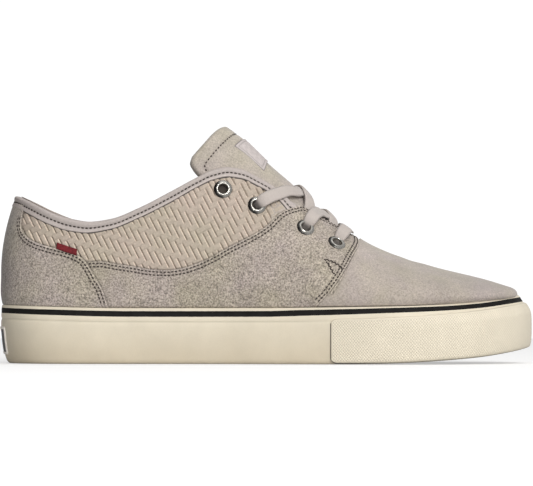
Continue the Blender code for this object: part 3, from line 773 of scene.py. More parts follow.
def rubber(name, color, rough=0.5):
    m = Tree(name, color, rough, spec=0.45)
    g = m.spread(m.noise(0.06, 3, 0.55), 0.95, 1.04)
    g = m.math("MULTIPLY", g, m.spread(m.noise(1.6, 2), 0.985, 1.015))
    g = m.math("MULTIPLY", g, m.attr("tone"))
    m.base(m.scaled(color, g))
    m.rough(m.spread(m.noise(0.25, 3), rough - 0.07, rough + 0.08))
    m.bump(m.noise(0.9, 3, 0.6), 0.18, 0.12)
    return m.m


# ----------------------------------------------------------------- seams seen from the side
# points in the frame of the photograph (533 x 486), lateral side
BINDING_LOWER = [(14.7, 206.2), (21.9, 210.0), (39.3, 220.2), (60.0, 228.6), (84.2, 232.6),
                 (110.0, 229.5), (140.0, 218.4), (163.0, 207.5), (180.0, 198.9), (195.3, 189.5),
                 (209.1, 182.4), (225.9, 177.3), (236.0, 177.0), (245.0, 180.2), (256.5, 185.7),
                 (267.2, 192.2), (272.5, 197.5), (275.5, 204.5), (276.5, 215.0)]
COUNTER_EDGE = [(24.2, 204.6), (23.8, 211.0), (22.6, 217.6), (21.7, 224.0), (22.2, 229.4),
                (25.8, 234.8), (31.8, 240.0), (40.4, 243.8), (51.7, 247.2), (66.0, 250.8),
                (76.0, 254.4), (82.8, 258.4), (86.6, 262.6), (95.0, 276.3), (102.2, 288.9),
                (108.0, 305.4)]
QUARTER_TOP = [(70.0, 264.0), (85.7, 261.6), (100.0, 260.9), (116.0, 263.6), (135.3, 266.5),
               (150.6, 269.1), (165.9, 269.9), (181.2, 268.2), (196.5, 263.4), (211.8, 256.5),
               (227.1, 247.8), (241.0, 240.8), (258.9, 231.3), (267.9, 224.9), (273.5, 218.8),
               (281.0, 212.2), (290.5, 208.3), (299.0, 206.8)]
VAMP_SEAM = [(359.6, 242.3), (358.4, 246.5), (354.2, 253.8), (344.6, 271.5), (335.0, 286.0),
             (325.0, 298.0), (317.0, 306.5)]
BARTACK = [(323.2, 259.8), (330.5, 262.0), (337.6, 265.6), (343.6, 271.6)]
BARTACK_SIDE = [(326.2, 262.0), (330.3, 268.4), (335.0, 277.0)]

SUEDE = (0.388, 0.342, 0.298)
SUEDE_FRONT = (0.440, 0.390, 0.348)
WEAVE = (0.520, 0.440, 0.360)
BINDING = (0.480, 0.425, 0.400)
TONGUE_C = (0.455, 0.408, 0.362)
LACE_C = (0.535, 0.480, 0.445)
CREAM = (0.760, 0.690, 0.555)
THREAD = (0.055, 0.043, 0.037)


# --- creases: soft troughs and ridges, in the shoe's own sizes
CREASES = [
    # x0     y0     x1     y1    half width  depth     (plan points of a crease over the vamp)
    (70.0, -44.0,  66.0,  -8.0,    5.0,      0.35),
    (84.0, -42.0,  80.0,  10.0,    6.5,      0.28),
    (63.0,  40.0,  70.0,   6.0,    5.0,      0.35),
    (56.0, -47.0,  60.0, -24.0,    3.5,      0.30),
]


def crease_lift(p):
    """Trough with a low ridge on each side along every crease line."""
    out = np.zeros(p.shape[:-1])
    for x0, y0, x1, y1, hw, dep in CREASES:
        d = np.array([x1 - x0, y1 - y0])
        ln = np.linalg.norm(d)
        d = d / ln
        rx, ry = p[..., 0] - x0, p[..., 1] - y0
        a = rx * d[0] + ry * d[1]
        b = -rx * d[1] + ry * d[0] + 1.6 * np.sin(a / ln * 3.0)
        fade = smooth(a, -8, 8) * (1 - smooth(a, ln - 8, ln + 8))
        k = b / hw
        out += -dep * fade * (1 - 1.3 * k * k) * np.exp(-k * k)
    return out


def soft_lumps(p, amp=0.12):
    """Very gentle unevenness of a lasted upper."""
    return amp * (np.sin(p[..., 0] / 13.0 + 0.7 * np.sin(p[..., 2] / 9.0))
                  * np.cos(p[..., 2] / 11.0 + 0.5 * np.sin(p[..., 0] / 17.0)))


def foot_bulge(p):
    """The lasted upper swells out over the sidewall's top edge, most at heel and toe."""
    x = p[..., 0]
    over = p[..., 2] - z_side(x)
    much = 1.0 + 0.9 * (1 - smooth(x, -142, -112)) + 0.45 * smooth(x, 105, 138)
    high = 9.0 + 8.0 * (1 - smooth(x, -142, -112))
    return much * smooth(over, -0.2, 1.2) * (1 - smooth(over, 0.8, high))


# ----------------------------------------------------------------- sewn panels
def panel(name, edge, base, rows, power, mat, side, thick=1.0, sink=-0.5, radius=0.7,
          grooves=(), groove_depth=0.14, extra=None, tone=None, replaces=(), floor=0.0, edge_highlight=0.0):
    """An overlay: from its cut edge (w, t) to a hidden base line (w, t). It has a rounded cut edge and shallow troughs
    along its stitch rows. Its tone is painted light and shade: a dark painted shadow line at the cut edge, a painted
    highlight strip just inside it whose strength is the last argument, painted shade in the stitch troughs and on the
    sunk hidden row."""
    ew, et = edge
    bw, bt = base
    r = (np.arange(rows) / (rows - 1)) ** power
    w = ew[:, None] + (bw - ew)[:, None] * r[None, :]
    t = et[:, None] + (bt - et)[:, None] * r[None, :]
    if side > 0:
        w = 2 - w
    p = raw(w, t)
    n = skin_n(w, t)
    d = near(p, raw(w[:, 0], t[:, 0]))
    k = np.clip(d / radius, 0, 1)
    lift = floor + thick * np.sqrt(np.maximum(1 - (1 - k) ** 2, 0))
    # painted shade and light: a dark painted shadow line at the cut edge, then a painted highlight strip just inside
    # it; the loop below paints shade into each stitch trough
    shade = 0.58 + 0.42 * smooth(d, 0.0, 0.45) + edge_highlight * np.exp(-((d - 0.66) / 0.42) ** 2)
    for g in grooves:
        lift = lift - groove_depth * np.exp(-((d - g) / 0.42) ** 2)
        shade = shade - 0.16 * np.exp(-((d - g) / 0.34) ** 2)
    if grooves:
        mid = 0.5 * (grooves[0] + grooves[-1])
        lift = lift + 0.10 * np.exp(-((d - mid) / 0.8) ** 2)
    if extra is not None:
        lift = lift + extra(p, d)
    if tone is not None:
        shade = shade * tone(p, d)
    lift = lift + foot_bulge(p)
    pts = p + n * lift[..., None]
    first = p[:, :1] + n[:, :1] * sink
    pts = np.concatenate([first, pts], 1)
    # the sunk hidden row is darker, painted shade
    shade = np.concatenate([shade[:, :1] * 0.8, shade], 1)
    nn = np.concatenate([n[:, :1], n], 1)
    nn[:, 0] = nn[:, 1]
    f = grid_quads(pts.shape[0], pts.shape[1])
    out = np.concatenate([n[:, :1] * 0.0, n], 1)
    return make(name, pts, f, mat, {"tone": shade}, outward=np.where(out == 0, nn, out),
                replaces=replaces)


def stitch_mesh(rows, name, mat, length=1.35, radius=0.30, lift=0.25, flat=0.6):
    """Many short stitches as one mesh. rows: (points, normals) arrays."""
    seg = 6
    rings = [(-0.5, 0.35, -0.55), (-0.36, 0.85, -0.12), (0.0, 1.0, 0.0), (0.36, 0.85, -0.12), (0.5, 0.35, -0.55)]
    tmpl = []
    for x, r, dz in rings:
        for k in range(seg):
            a = 2 * math.pi * k / seg
            tmpl.append((x * length, r * radius * math.cos(a), r * radius * flat * math.sin(a) + dz * radius))
    tmpl = np.array(tmpl)
    fs = []
    for i in range(len(rings) - 1):
        for k in range(seg):
            fs.append((i * seg + k, i * seg + (k + 1) % seg, (i + 1) * seg + (k + 1) % seg, (i + 1) * seg + k))
    allv, allf, tone = [], [], []
    off = 0
    for p, n, tan in rows:
        bi = unit(np.cross(n, tan))
        tan = unit(np.cross(bi, n))
        v = (p[:, None, :] + tan[:, None, :] * tmpl[None, :, 0:1] + bi[:, None, :] * tmpl[None, :, 1:2]
             + n[:, None, :] * (tmpl[None, :, 2:3] + lift))
        allv.append(v.reshape(-1, 3))
        m = len(p)
        base = off + np.arange(m)[:, None, None] * len(tmpl)
        allf.append((np.array(fs)[None] + base).reshape(-1, 4))
        tone.append(np.repeat(0.85 + 0.3 * rng.random(m), len(tmpl)))
        off += m * len(tmpl)
    verts = np.concatenate(allv)
    faces = np.concatenate(allf)
    caps = []
    first = np.arange(0, len(verts), len(tmpl))
    for s in first:
        caps.append(tuple(range(s + seg - 1, s - 1, -1)))
        e = s + len(tmpl) - seg
        caps.append(tuple(range(e, e + seg)))
    return make(name, verts, faces.tolist() + [tuple(int(c) for c in q) for q in caps], mat,
                {"tone": np.concatenate(tone)})


def stitch_row(w, t, pitch=2.0, lift=0.0, trim=1.0):
    """Stitch places along a line of w, t; lift is a number or a function of the place."""
    p = raw(w, t)
    s = run_length(p)
    n = int((s[-1] - 2 * trim) / pitch)
    k = trim + (np.arange(n) + 0.5) * pitch
    ww, tt = np.interp(k, s, w), np.interp(k, s, t)
    nn = skin_n(ww, tt)
    pp = raw(ww, tt)
    pp = pp + nn * ((lift(pp) if callable(lift) else lift) + foot_bulge(pp))[:, None]
    tan = unit(np.stack([np.interp(k + 0.4, s, p[:, i]) - np.interp(k - 0.4, s, p[:, i]) for i in range(3)], -1))
    return pp, nn, tan


# ----------------------------------------------------------------- materials
m_suede = suede("suede_side", SUEDE, 1.0, 1.3, 1.3)
m_front = suede("suede_front", SUEDE_FRONT, 0.42, 1.2, 0.5)
m_counter = suede("suede_heel", (0.405, 0.357, 0.315), 1.0, 1.0, 1.2)
m_tongue = suede("suede_tongue", TONGUE_C, 0.40, 0.9, 0.6)
m_binding = leather("collar_leather", BINDING, 0.62)
m_lining = leather("lining_leather", (0.46, 0.40, 0.36), 0.75, 0.6)
m_thread = leather("thread", THREAD, 0.7, 0.2)


def weave_material():
    m = Tree("embossed_weave", WEAVE, 0.72, spec=0.35)
    g = m.spread(m.noise(1.1, 2, 0.6), 0.90, 1.10)
    g = m.math("MULTIPLY", g, m.spread(m.noise(0.3, 3, 0.6), 0.94, 1.05))
    g = m.math("MULTIPLY", g, m.attr("tone"))
    hue = m.mix((0.500, 0.415, 0.350), (0.470, 0.408, 0.325), m.spread(m.noise(0.05, 2, 0.5), 0.0, 1.0))
    m.base(m.scaled(hue, g))
    m.bump(m.noise(1.2, 3, 0.6), 0.35, 0.12)
    return m.m


m_weave = weave_material()
m_cream = rubber("cream_rubber_looks", CREAM, 0.48)


# ----------------------------------------------------------------- eyelet places
# dark material for the painted shadow inside the eyelet holes
m_hole_shadow = leather("painted_hole_shadow", (0.060, 0.050, 0.042), 0.9, 0.3)
eyelet_at = {}
for _side in (-1, 1):
    _w, _t = find_xz(_side, [(x, z) for _, x, z in EYELETS])
    for _i, (_name, _, _) in enumerate(EYELETS):
        eyelet_at[_side, _name] = (_w[_i], _t[_i], 0.25 if _name in "12" else 0.85)


def punch(ob, radius=3.05):
    """Cut the eyelet holes through a panel."""
    bm = bmesh.new()
    bm.from_mesh(ob.data)
    doomed = set()
    cen = np.array([f.calc_center_median()[:] for f in bm.faces]) / MM - SHIFT
    bm.faces.ensure_lookup_table()
    for (_s_, _n_), (w, t, _) in eyelet_at.items():
        c, n = raw(w, t), skin_n(w, t)
        d = cen - c
        ax = d @ n
        r = np.linalg.norm(d - ax[:, None] * n, axis=1)
        doomed |= set(np.where((r < radius) & (np.abs(ax) < 5))[0].tolist())
    if doomed:
        bmesh.ops.delete(bm, geom=[bm.faces[i] for i in doomed], context="FACES")
        bm.to_mesh(ob.data)
    bm.free()
    return ob


# ----------------------------------------------------------------- vamp
def build_vamp():
    wl = np.unique(np.concatenate([np.linspace(0.50, 0.66, 60), np.linspace(0.66, THROAT_W - 0.0004, 60),
                                   [THROAT_W], np.linspace(THROAT_W + 0.001, 1.0, 130)]))
    w = np.concatenate([wl, (2 - wl)[::-1][1:]])
    tc = cut_t(w)
    rows = 110
    r = np.linspace(0, 1, rows)
    t = -0.12 + (tc[:, None] + 0.12) * r[None, :] ** 1.15
    ww = w[:, None] + 0 * t
    p = raw(ww, t)
    n = skin_n(ww, t)
    lift = crease_lift(p) + soft_lumps(p, 0.08)
    lift = lift * smooth(p[..., 2], 36, 42) + foot_bulge(p)
    pts = p + n * lift[..., None]
    closed = (tc >= 1.9999)[:, None, None]
    rim = []
    for k in (-0.5, -1.2, -2.3):
        rim.append(np.where(closed[:, 0], pts[:, -1], p[:, -1] + n[:, -1] * k)[:, None, :])
    pts = np.concatenate([pts] + rim, 1)
    # a little darker toward the seam and at the sidewall; lighter on the toe's top, which is painted light from above;
    # the hidden rim rows are darker, painted shade
    tone = np.ones(p.shape[:-1])
    tone *= 0.96 + 0.05 * smooth(p[..., 2], 38, 60)
    tone *= 1.0 - 0.05 * (1 - smooth(p[..., 2], 33.5, 38))
    tone = np.concatenate([tone] + [tone[:, -1:] * 0.8] * 3, 1)
    out = np.concatenate([n] + [n[:, -1:]] * 3, 1)
    punch(make("vamp", pts, grid_quads(pts.shape[0], pts.shape[1]), m_front, {"tone": tone}, weld=0.004,
               outward=out, replaces=("upper",)))
    # the cut wall at the foot of the lacing opening, painted darker as shade
    tl = float(cut_t(THROAT_W - 0.0005))
    tt = np.linspace(tl, 4 - tl, 25)
    ks = np.array([0.0, -0.5, -1.2, -2.3])
    pp = raw(THROAT_W, tt)[:, None, :] + skin_n(THROAT_W, tt)[:, None, :] * ks[None, :, None]
    make("throat_cut", pp, grid_quads(len(tt), len(ks)), m_front, {"tone": np.full(pp.shape[:-1], 0.8)},
         outward=np.broadcast_to(np.array([-1.0, 0, 0.2]), pp.shape))


build_vamp()


# ----------------------------------------------------------------- woven panel
AX, AZ = -33.0, 70.9              # a point on the axis of the pointed weave
CELL_A, CELL_B = 3.03, 3.15       # cell along and across the strips
CA, SA = math.cos(math.radians(63)), math.sin(math.radians(63))


def weave_height(x, z):
    """Relief of a pointed two-over-two weave pressed in the leather, and its tone, which is painted light and shade:
    painted shade in the grooves, a painted highlight on the groove walls that face the light and painted shade on the
    walls that face away.
    """
    a = ((x - AX) * CA - (z - AZ) * SA) / CELL_A
    b = ((x - AX) * SA + (z - AZ) * CA) / CELL_B + 0.5
    i = np.floor(b)
    bl = (b - i) * 2 - 1
    nb = np.where(bl > 0, i + 1, i - 1)

    def up(j):
        ph = (a + np.abs(j)) % 4
        return smooth(ph, 0.0, 0.35) * (1 - smooth(ph, 1.75, 2.15))
    u, un = up(i), up(nb)
    y = (a - np.floor(a)) * 2 - 1
    # cross bars between the strips, each with a soft groove at both sides
    bar = 0.36 - 0.30 * smooth(np.abs(y), 0.68, 1.0)
    own = 0.50 * u * (1 - 0.12 * bl * bl)
    h = np.maximum(own, bar)
    edge = smooth(np.abs(bl), 0.60, 0.96)
    g = edge * np.maximum(u, un)
    h = h - 0.95 * g
    deep = smooth(np.abs(bl), 0.78, 0.98) * np.maximum(u, un)
    # painted shade in the grooves, strongest on the walls facing away from the light; painted highlight on the walls
    # facing it; painted shade in the cross-bar grooves
    tone = 1.0 + 0.03 * u - (0.17 + 0.50 * (bl < 0)) * deep
    tone += 0.58 * smooth(bl, 0.48, 0.70) * (1 - smooth(bl, 0.80, 0.95)) * np.maximum(u, un)
    tone -= 0.30 * smooth(-bl, 0.55, 0.75) * (1 - smooth(-bl, 0.75, 0.9)) * np.maximum(u, un)
    tone -= 0.16 * smooth(np.abs(y), 0.80, 1.0) * (1 - u)
    return h, tone


def build_weave(side):
    q = np.linspace(0.025, 0.575, 600)
    w = q if side < 0 else 2 - q
    tc = cut_t(w)
    top = down_from(w, tc, np.full((len(w), 1), 1.2))[:, 0]
    rows = 120
    r = np.linspace(0, 1, rows)
    # the panel reaches 3 mm under the counter and the quarter
    w1, t1 = line_on_skin(QUARTER_TOP, 0.8)
    w2, t2 = line_on_skin(COUNTER_EDGE, 0.8)
    k2 = w2 < w1[0]
    ws, ts = np.concatenate([w2[k2], w1]), np.concatenate([t2[k2], t1])
    o = np.argsort(ws)
    lo = np.interp(q, ws[o], ts[o])
    lo = np.array([lo[max(i - 6, 0):i + 7].min() for i in range(len(q))])
    lo = np.clip(np.convolve(np.pad(lo, 8, mode="edge"), np.ones(17) / 17, "valid") - 0.07, 1.02, None)
    lo = np.minimum(lo, top - 0.02)
    t = lo[:, None] + (top - lo)[:, None] * r[None, :]
    ww = w[:, None] + 0 * t
    p = raw(ww, t)
    n = skin_n(ww, t)
    h, tone = weave_height(p[..., 0], p[..., 2])
    q1, q2 = w1 if side < 0 else 2 - w1, w2 if side < 0 else 2 - w2
    # painted shadow on the weave along the edges of the quarter and the heel counter
    by = np.minimum(near(p, raw(q1, t1)), near(p, raw(q2, t2)))
    tone = tone * (1.0 - 0.48 * np.exp(-(by / 0.55) ** 2))
    pts = p + n * (h - 0.35)[..., None]
    punch(make("woven_panel_" + ("lateral" if side < 0 else "medial"), pts,
               grid_quads(len(w), rows), m_weave, {"tone": tone}, outward=n))


for side in (-1, 1):
    build_weave(side)

# ----------------------------------------------------------------- quarters
def throat_edge(side):
    """w, t along the throat edge from the suede tip to the foot of the opening."""
    x_tip = float((299.0 - CAM_U) / 1.79)
    qs = np.linspace(0.40, 0.671, 500)
    w = qs if side < 0 else 2 - qs
    t = cut_t(w)
    p = raw(w, t)
    k = np.argmax(p[:, 0] > x_tip)
    s = run_length(p[k:])
    n = int(s[-1] / 0.8)
    m = np.linspace(0, s[-1], n)
    return np.interp(m, s, qs[k:]), np.interp(m, s, t[k:])


def build_quarter(side):
    w0, t0 = line_on_skin(COUNTER_EDGE, 0.7)
    rim = raw(w0 if side < 0 else 2 - w0, t0)
    w1, t1 = line_on_skin(QUARTER_TOP, 0.8)
    w2, t2 = throat_edge(side)
    w3, t3 = line_on_skin(VAMP_SEAM, 0.8)
    ew = np.concatenate([w1[:-1], w2, w3[1:]])
    et = np.concatenate([t1[:-1], t2, t3[1:]])
    # soften the joints of the three runs
    for _ in range(3):
        ew[1:-1] = (ew[:-2] + 2 * ew[1:-1] + ew[2:]) / 4
        et[1:-1] = (et[:-2] + 2 * et[1:-1] + et[2:]) / 4
    k1, k2, k3 = len(w1) - 1, len(w1) - 1 + len(w2), len(ew) - 1
    k = np.arange(len(ew))
    # base points lie well behind the edge, so that no line of the grid crosses the seam
    bw = np.interp(k, [0, k1, k2, k3], [ew[0] - 0.005, ew[-1] - 0.21, ew[-1] - 0.15, ew[-1]])
    bt = np.full(len(ew), -0.30)
    ob = panel("quarter_" + ("lateral" if side < 0 else "medial"), (ew, et), (bw, bt), 84, 1.5, m_suede, side,
               thick=0.8, grooves=(1.35, 3.15), extra=lambda p, d: soft_lumps(p, 0.10) * smooth(d, 3, 12),
               # tone: a little darker low down near the sidewall, and a painted shadow along the heel counter's edge
               tone=lambda p, d: (1.0 - 0.04 * (1 - smooth(p[..., 2], 34, 40)))
               * (1.0 - 0.50 * np.exp(-(near(p, rim) / 0.6) ** 2)), edge_highlight=0.12)
    punch(ob)
    return ob, (ew, et, k1, k2)


quarter_edges = {}
for side in (-1, 1):
    _, quarter_edges[side] = build_quarter(side)

# ----------------------------------------------------------------- heel counter
cw, ct = line_on_skin(COUNTER_EDGE, 0.7)
ck = np.arange(len(cw))
# lateral half mirrored on the medial half, joined over the heel's back under the binding
back_w = np.linspace(-cw[0], cw[0], 40)[1:-1]
e_w = np.concatenate([-cw[::-1], back_w, cw])
e_t = np.concatenate([ct[::-1], np.full(len(back_w), ct[0]), ct])
b_w = np.linspace(-cw[-1] - 0.004, cw[-1] + 0.004, len(e_w))


# tone of the heel counter: the back of the heel darker, painted shade where the light falls off round the back; also a
# little darker low down near the sidewall
def heel_painted_shade(p, d):
    return (1.0 - 0.04 * (1 - smooth(p[..., 2], 34, 40))) * (0.56 + 0.44 * smooth(p[..., 0], -149, -137))


def heel_ease(x):
    """The counter lies close round the back, where no quarter runs under it."""
    return -0.80 * (1 - smooth(x, -144.0, -116.0))


panel("heel_counter", (e_w, e_t), (b_w, np.full(len(e_w), -0.30)), 90, 1.35, m_counter, -1, thick=0.75,
      grooves=(1.4, 3.2), extra=lambda p, d: soft_lumps(p, 0.10) + 0.15 * np.exp(-((d - 0.5) / 0.4) ** 2)
      + heel_ease(p[..., 0]), tone=heel_painted_shade, floor=0.60, edge_highlight=0.32)


# ----------------------------------------------------------------- padded collar binding
qs = np.linspace(0, 0.62, 700)
_xc = raw(qs, cut_t(qs))[:, 0]
Q_TIP = float(np.interp(16.5, _xc, qs))


def pad_share(x):
    """How thick the collar foam is: full round the ankle, none toward the lacing."""
    return 1 - smooth(x, -78.0, -46.0)


def build_binding():
    q = np.linspace(-Q_TIP, Q_TIP, 1400)
    p = raw(q, cut_t(q))
    s = run_length(p)
    w = np.interp(np.arange(0, s[-1], 0.62), s, q)
    tc = cut_t(w)
    x = raw(w, tc)[:, 0]
    pad = pad_share(x)
    # widths of the outer face, from the seam seen in the photograph
    bw_, bt_ = line_on_skin(BINDING_LOWER, 0.7)
    low = raw(bw_, bt_)
    top = raw(w, tc)
    width = np.empty(len(w))
    lowm = low * np.array([1, -1, 1])
    for i in range(len(w)):
        ref = low if w[i] >= 0 else lowm
        width[i] = np.linalg.norm(ref - top[i], axis=1).min()
    width = np.convolve(np.pad(width, 12, mode="edge"), np.ones(25) / 25, "valid")
    width = np.clip(width, 3.6 + 1.7 * smooth(x, -6.0, 8.0), 9.0)
    tipf = smooth(Q_TIP - np.abs(w), 0.0, 0.03)
    # outer face, rolled top, inner face: share of width, or millimetres down the inside; the last column is painted
    # tone: a dark painted shadow at the tucked lower edge, a painted highlight on the rolled edge, painted shade in
    # the stitch trough
    prof_out = [(1.0, 0.62, -0.45, 0.16), (1.0, 0.60, 0.02, 0.16), (1.0, 0.18, 0.22, 0.20), (1.0, 0.0, 0.50, 0.75),
                (0.97, 0.0, 0.72, 1.16), (0.92, 0.0, 0.86, 1.20), (0.84, 0.0, 0.90, 1.06), (0.74, 0.0, 0.80, 0.98),
                (0.66, 0.0, 0.56, 0.90), (0.60, 0.0, 0.38, 0.74), (0.54, 0.0, 0.56, 0.90), (0.45, 0.0, 0.86, 1.0),
                (0.33, 0.0, 1.08, 1.0), (0.20, 0.0, 1.12, 1.0), (0.10, 0.0, 0.92, 1.0), (0.03, 0.0, 0.50, 1.0),
                (0.0, 0.0, 0.15, 1.0)]
    cols_a, cols_l, tone = [], [], []
    sag = 0.85 * (1 - smooth(x, -122.0, -95.0))
    for a, more, l, tn in prof_out:
        cols_a.append(a * width + more + sag * max(0.0, 1 - a / 0.33))
        cols_l.append(l * (0.35 + 0.65 * tipf) if l > 0 else l + 0 * tipf)
        tone.append(tn)
    thick = 2.3 + 5.6 * pad
    for f, drop in ((0.10, -0.25), (0.25, -0.42), (0.42, -0.42), (0.60, -0.25), (0.76, 0.25), (0.89, 1.2),
                    (0.97, 2.6), (1.0, 4.6), (1.02, 7.0), (1.02, 9.5), (1.0, 11.5)):
        cols_a.append((np.where(pad > 0.02, drop * (0.4 + 0.6 * pad), drop * 0.5) if drop > 0
                       else drop * (0.3 + 0.7 * pad)) + sag)
        cols_l.append(-f * thick)
        tone.append(1.0)
    a = np.stack(cols_a, 1)
    l = np.stack(cols_l, 1)
    t = down_from(w, tc, np.maximum(a, 0.0))
    ww = w[:, None] + 0 * t
    base = raw(ww, t)
    n = skin_n(ww, t)
    up = unit(raw(w, np.minimum(tc + 0.01, 2)) - raw(w, tc - 0.01))[:, None, :]
    pts = base + n * l[..., None] + up * np.maximum(-a, 0.0)[..., None]
    tone = np.broadcast_to(np.array(tone), a.shape)
    make("collar_binding", pts, grid_quads(pts.shape[0], pts.shape[1]), m_binding, {"tone": tone},
         outward=np.where((np.arange(a.shape[1]) < 16)[None, :, None], n, 0.0))
    st = []
    for sgn in (-1, 1):
        idx = np.where(w * sgn > 0.0)[0]
        a_st = down_from(w[idx], tc[idx], (0.60 * width[idx])[:, None])[:, 0]
        wi, ti = w[idx], a_st
        if sgn < 0:
            wi, ti = wi[::-1], ti[::-1]
        st.append(stitch_row(wi, ti, 2.3, 0.36, 2.0))
    return st


binding_stitches = build_binding()


# ----------------------------------------------------------------- lining
def build_lining():
    q = np.unique(np.concatenate([np.linspace(0, 1, 190), np.linspace(THROAT_W - 0.03, THROAT_W + 0.01, 30)]))
    w = np.concatenate([q, (2 - q)[::-1][1:-1]])
    tc = cut_t(w)
    rows = 60
    r = np.linspace(0, 1, rows) ** 1.2
    k = np.linspace(0, 1, 160)
    t = tc[:, None] + (-1.0 - tc[:, None]) * r[None, :]
    ww = w[:, None] + 0 * t
    p = raw(ww, t)
    a = np.concatenate([np.zeros((len(w), 1)), np.cumsum(np.linalg.norm(np.diff(p, axis=1), axis=2), axis=1)], 1)
    top = raw(w, tc)
    pad = (pad_share(top[:, 0]) * (tc < 1.999))[:, None]
    n = skin_n(ww, t)
    thick = 2.3 + 5.6 * pad * smooth(a, 0, 5) * (1 - smooth(a, 24, 40))
    dip = 0.9 * np.exp(-((a - 11.0) / 1.0) ** 2) * pad
    thick = thick - dip + 0.5 * (1 - pad)
    pts = p - n * thick[..., None]
    # tone: painted shade along the dip of the collar padding
    punch(make("lining", pts, grid_quads(len(w), rows, True, False), m_lining,
               {"tone": 1.0 - 0.25 * np.exp(-((a - 11.0) / 0.7) ** 2) * pad}, outward=-n))


build_lining()


# ----------------------------------------------------------------- tongue
_g = np.array(TONGUE)
tongue_ridge = pchip(_g[:, 0], _g[:, 1])
tongue_edge_x = pchip(_g[:, 0], _g[:, 2])
tongue_edge_z = pchip(_g[:, 0], _g[:, 3])
_qq = np.linspace(0, 1, 2001)
TONGUE_DEPTH = WALL_T + TONGUE_GAP


def tongue_at(share, across):
    """w, t of tongue places: across -1 lateral edge .. 1 medial edge."""
    q0 = np.interp(tongue_ridge(share), sec_ridge(_qq), _qq)
    xz = np.stack([tongue_edge_x(share), tongue_edge_z(share)], -1)
    wl, tl = find_xz(-1, xz)
    wm, tm = find_xz(1, xz)
    a = np.abs(across)
    k = a ** (1.5 + 0.28 * smooth(share, 0.85, 1.0))
    lat = across <= 0
    return (np.where(lat, q0 + (wl - q0) * k, 2 - (q0 + ((2 - wm) - q0) * k)),
            np.where(lat, 2 + (tl - 2) * a, 2 + (tm - 2) * a))


def tongue_grid(share, across):
    """The same for a grid of rows and columns."""
    g = np.broadcast_arrays(np.asarray(share, float)[:, None], np.asarray(across, float)[None, :])
    q0 = np.interp(tongue_ridge(share), sec_ridge(_qq), _qq)[:, None]
    xz = np.stack([tongue_edge_x(share), tongue_edge_z(share)], -1)
    wl, tl = [v[:, None] for v in find_xz(-1, xz)]
    wm, tm = [v[:, None] for v in find_xz(1, xz)]
    a = np.abs(g[1])
    k = a ** (1.5 + 0.28 * smooth(g[0], 0.85, 1.0))
    lat = g[1] <= 0
    return (np.where(lat, q0 + (wl - q0) * k, 2 - (q0 + ((2 - wm) - q0) * k)),
            np.where(lat, 2 + (tl - 2) * a, 2 + (tm - 2) * a))


def build_tongue():
    share = 1 - (1 - np.linspace(0, 1, 120)) ** 1.25
    across = np.sin(np.linspace(-1, 1, 101) * math.pi / 2) * 0.5 + np.linspace(-1, 1, 101) * 0.5
    w, t = tongue_grid(share, across)
    p = raw(w, t)
    n = skin_n(w, t)
    rim = np.concatenate([p[:, 0], p[-1, 1:-1], p[::-1, -1]])
    d = near(p, rim)
    x = p[..., 0]
    full = 2.1 + 1.5 * smooth(x * -1, -20, 15)
    half = full * np.sqrt(np.maximum(1 - (1 - np.clip(d / 2.3, 0, 1)) ** 2, 0))
    # quilted line round the head of the tongue
    d_head = near(p, p[-1])
    d_side = np.minimum(near(p, p[:, 0]), near(p, p[:, -1]))
    u = ((np.maximum(d_head, 0.05) / 8.5) ** -5 + (np.maximum(d_side, 0.05) / 5.0) ** -5) ** -0.2
    ring = (u - 1) * 7.0
    trough = 0.45 * np.exp(-(ring / 0.8) ** 2) * smooth(-x, 0, 14)
    puff = 0.35 * smooth(ring, 0.5, 12) * smooth(-x, -5, 15)
    wav = 0.25 * np.sin(p[..., 2] / 7.0 + p[..., 1] / 9.0) * smooth(d, 5, 15)
    puff = puff + 0.5 * np.exp(-(across[None, :] / 0.35) ** 2) * smooth(x, 5, 18)
    top = p - n * (TONGUE_DEPTH + full - half)[..., None] + n * (puff - trough + wav - 0.35)[..., None]
    bot = p - n * (TONGUE_DEPTH + full + half)[..., None] + n * (0.3 * trough)[..., None]
    rows, cols = w.shape
    verts = np.concatenate([top.reshape(-1, 3), bot.reshape(-1, 3)])
    f1 = grid_quads(rows, cols)
    v = verts
    nn = np.cross(v[f1[:, 2]] - v[f1[:, 0]], v[f1[:, 3]] - v[f1[:, 1]])
    if (nn * n.reshape(-1, 3)[f1[:, 0]]).sum() < 0:
        f1 = f1[:, ::-1]
    f2 = f1[:, ::-1] + rows * cols
    # tone: painted shade along the quilted trough and at the rounded edges; the underside a little darker
    tone = 1.0 - 0.12 * np.exp(-(ring / 0.6) ** 2) * smooth(-x, 0, 14)
    tone = tone * (0.94 + 0.06 * smooth(d, 0, 3))
    ob = make("tongue_pad", verts, np.concatenate([f1, f2]), m_tongue,
              {"tone": np.concatenate([tone.ravel(), tone.ravel() * 0.97])}, weld=0.02,
              replaces=("tongue",))
    # the quilted line, read from the same grid: up each side, then over the head
    half_c = cols // 2
    lines = []
    for cs in (np.arange(0, half_c + 1), np.arange(cols - 1, half_c - 1, -1)):
        uu, tp, nm = u[:, cs], top[:, cs], n[:, cs]
        hh, sd = d_head[:, cs] / 8.5, d_side[:, cs] / 5.0
        got = []
        for i in range(int(rows * 0.45), rows):
            j = int(np.argmax(uu[i] > 1))
            if j > 0 and hh[i, j] > sd[i, j]:
                f = (1 - uu[i, j - 1]) / max(uu[i, j] - uu[i, j - 1], 1e-6)
                got.append((tp[i, j - 1] + f * (tp[i, j] - tp[i, j - 1]), nm[i, j]))
        for j in range(len(cs)):
            col = uu[::-1, j]
            i = int(np.argmax(col > 1))
            if i > 0:
                i0, i1 = rows - i, rows - 1 - i
                if hh[i1, j] <= sd[i1, j]:
                    f = (1 - uu[i0, j]) / max(uu[i1, j] - uu[i0, j], 1e-6)
                    got.append((tp[i0, j] + f * (tp[i1, j] - tp[i0, j]), nm[i1, j]))
        lines.append(got)
    return lines


tongue_line = build_tongue()


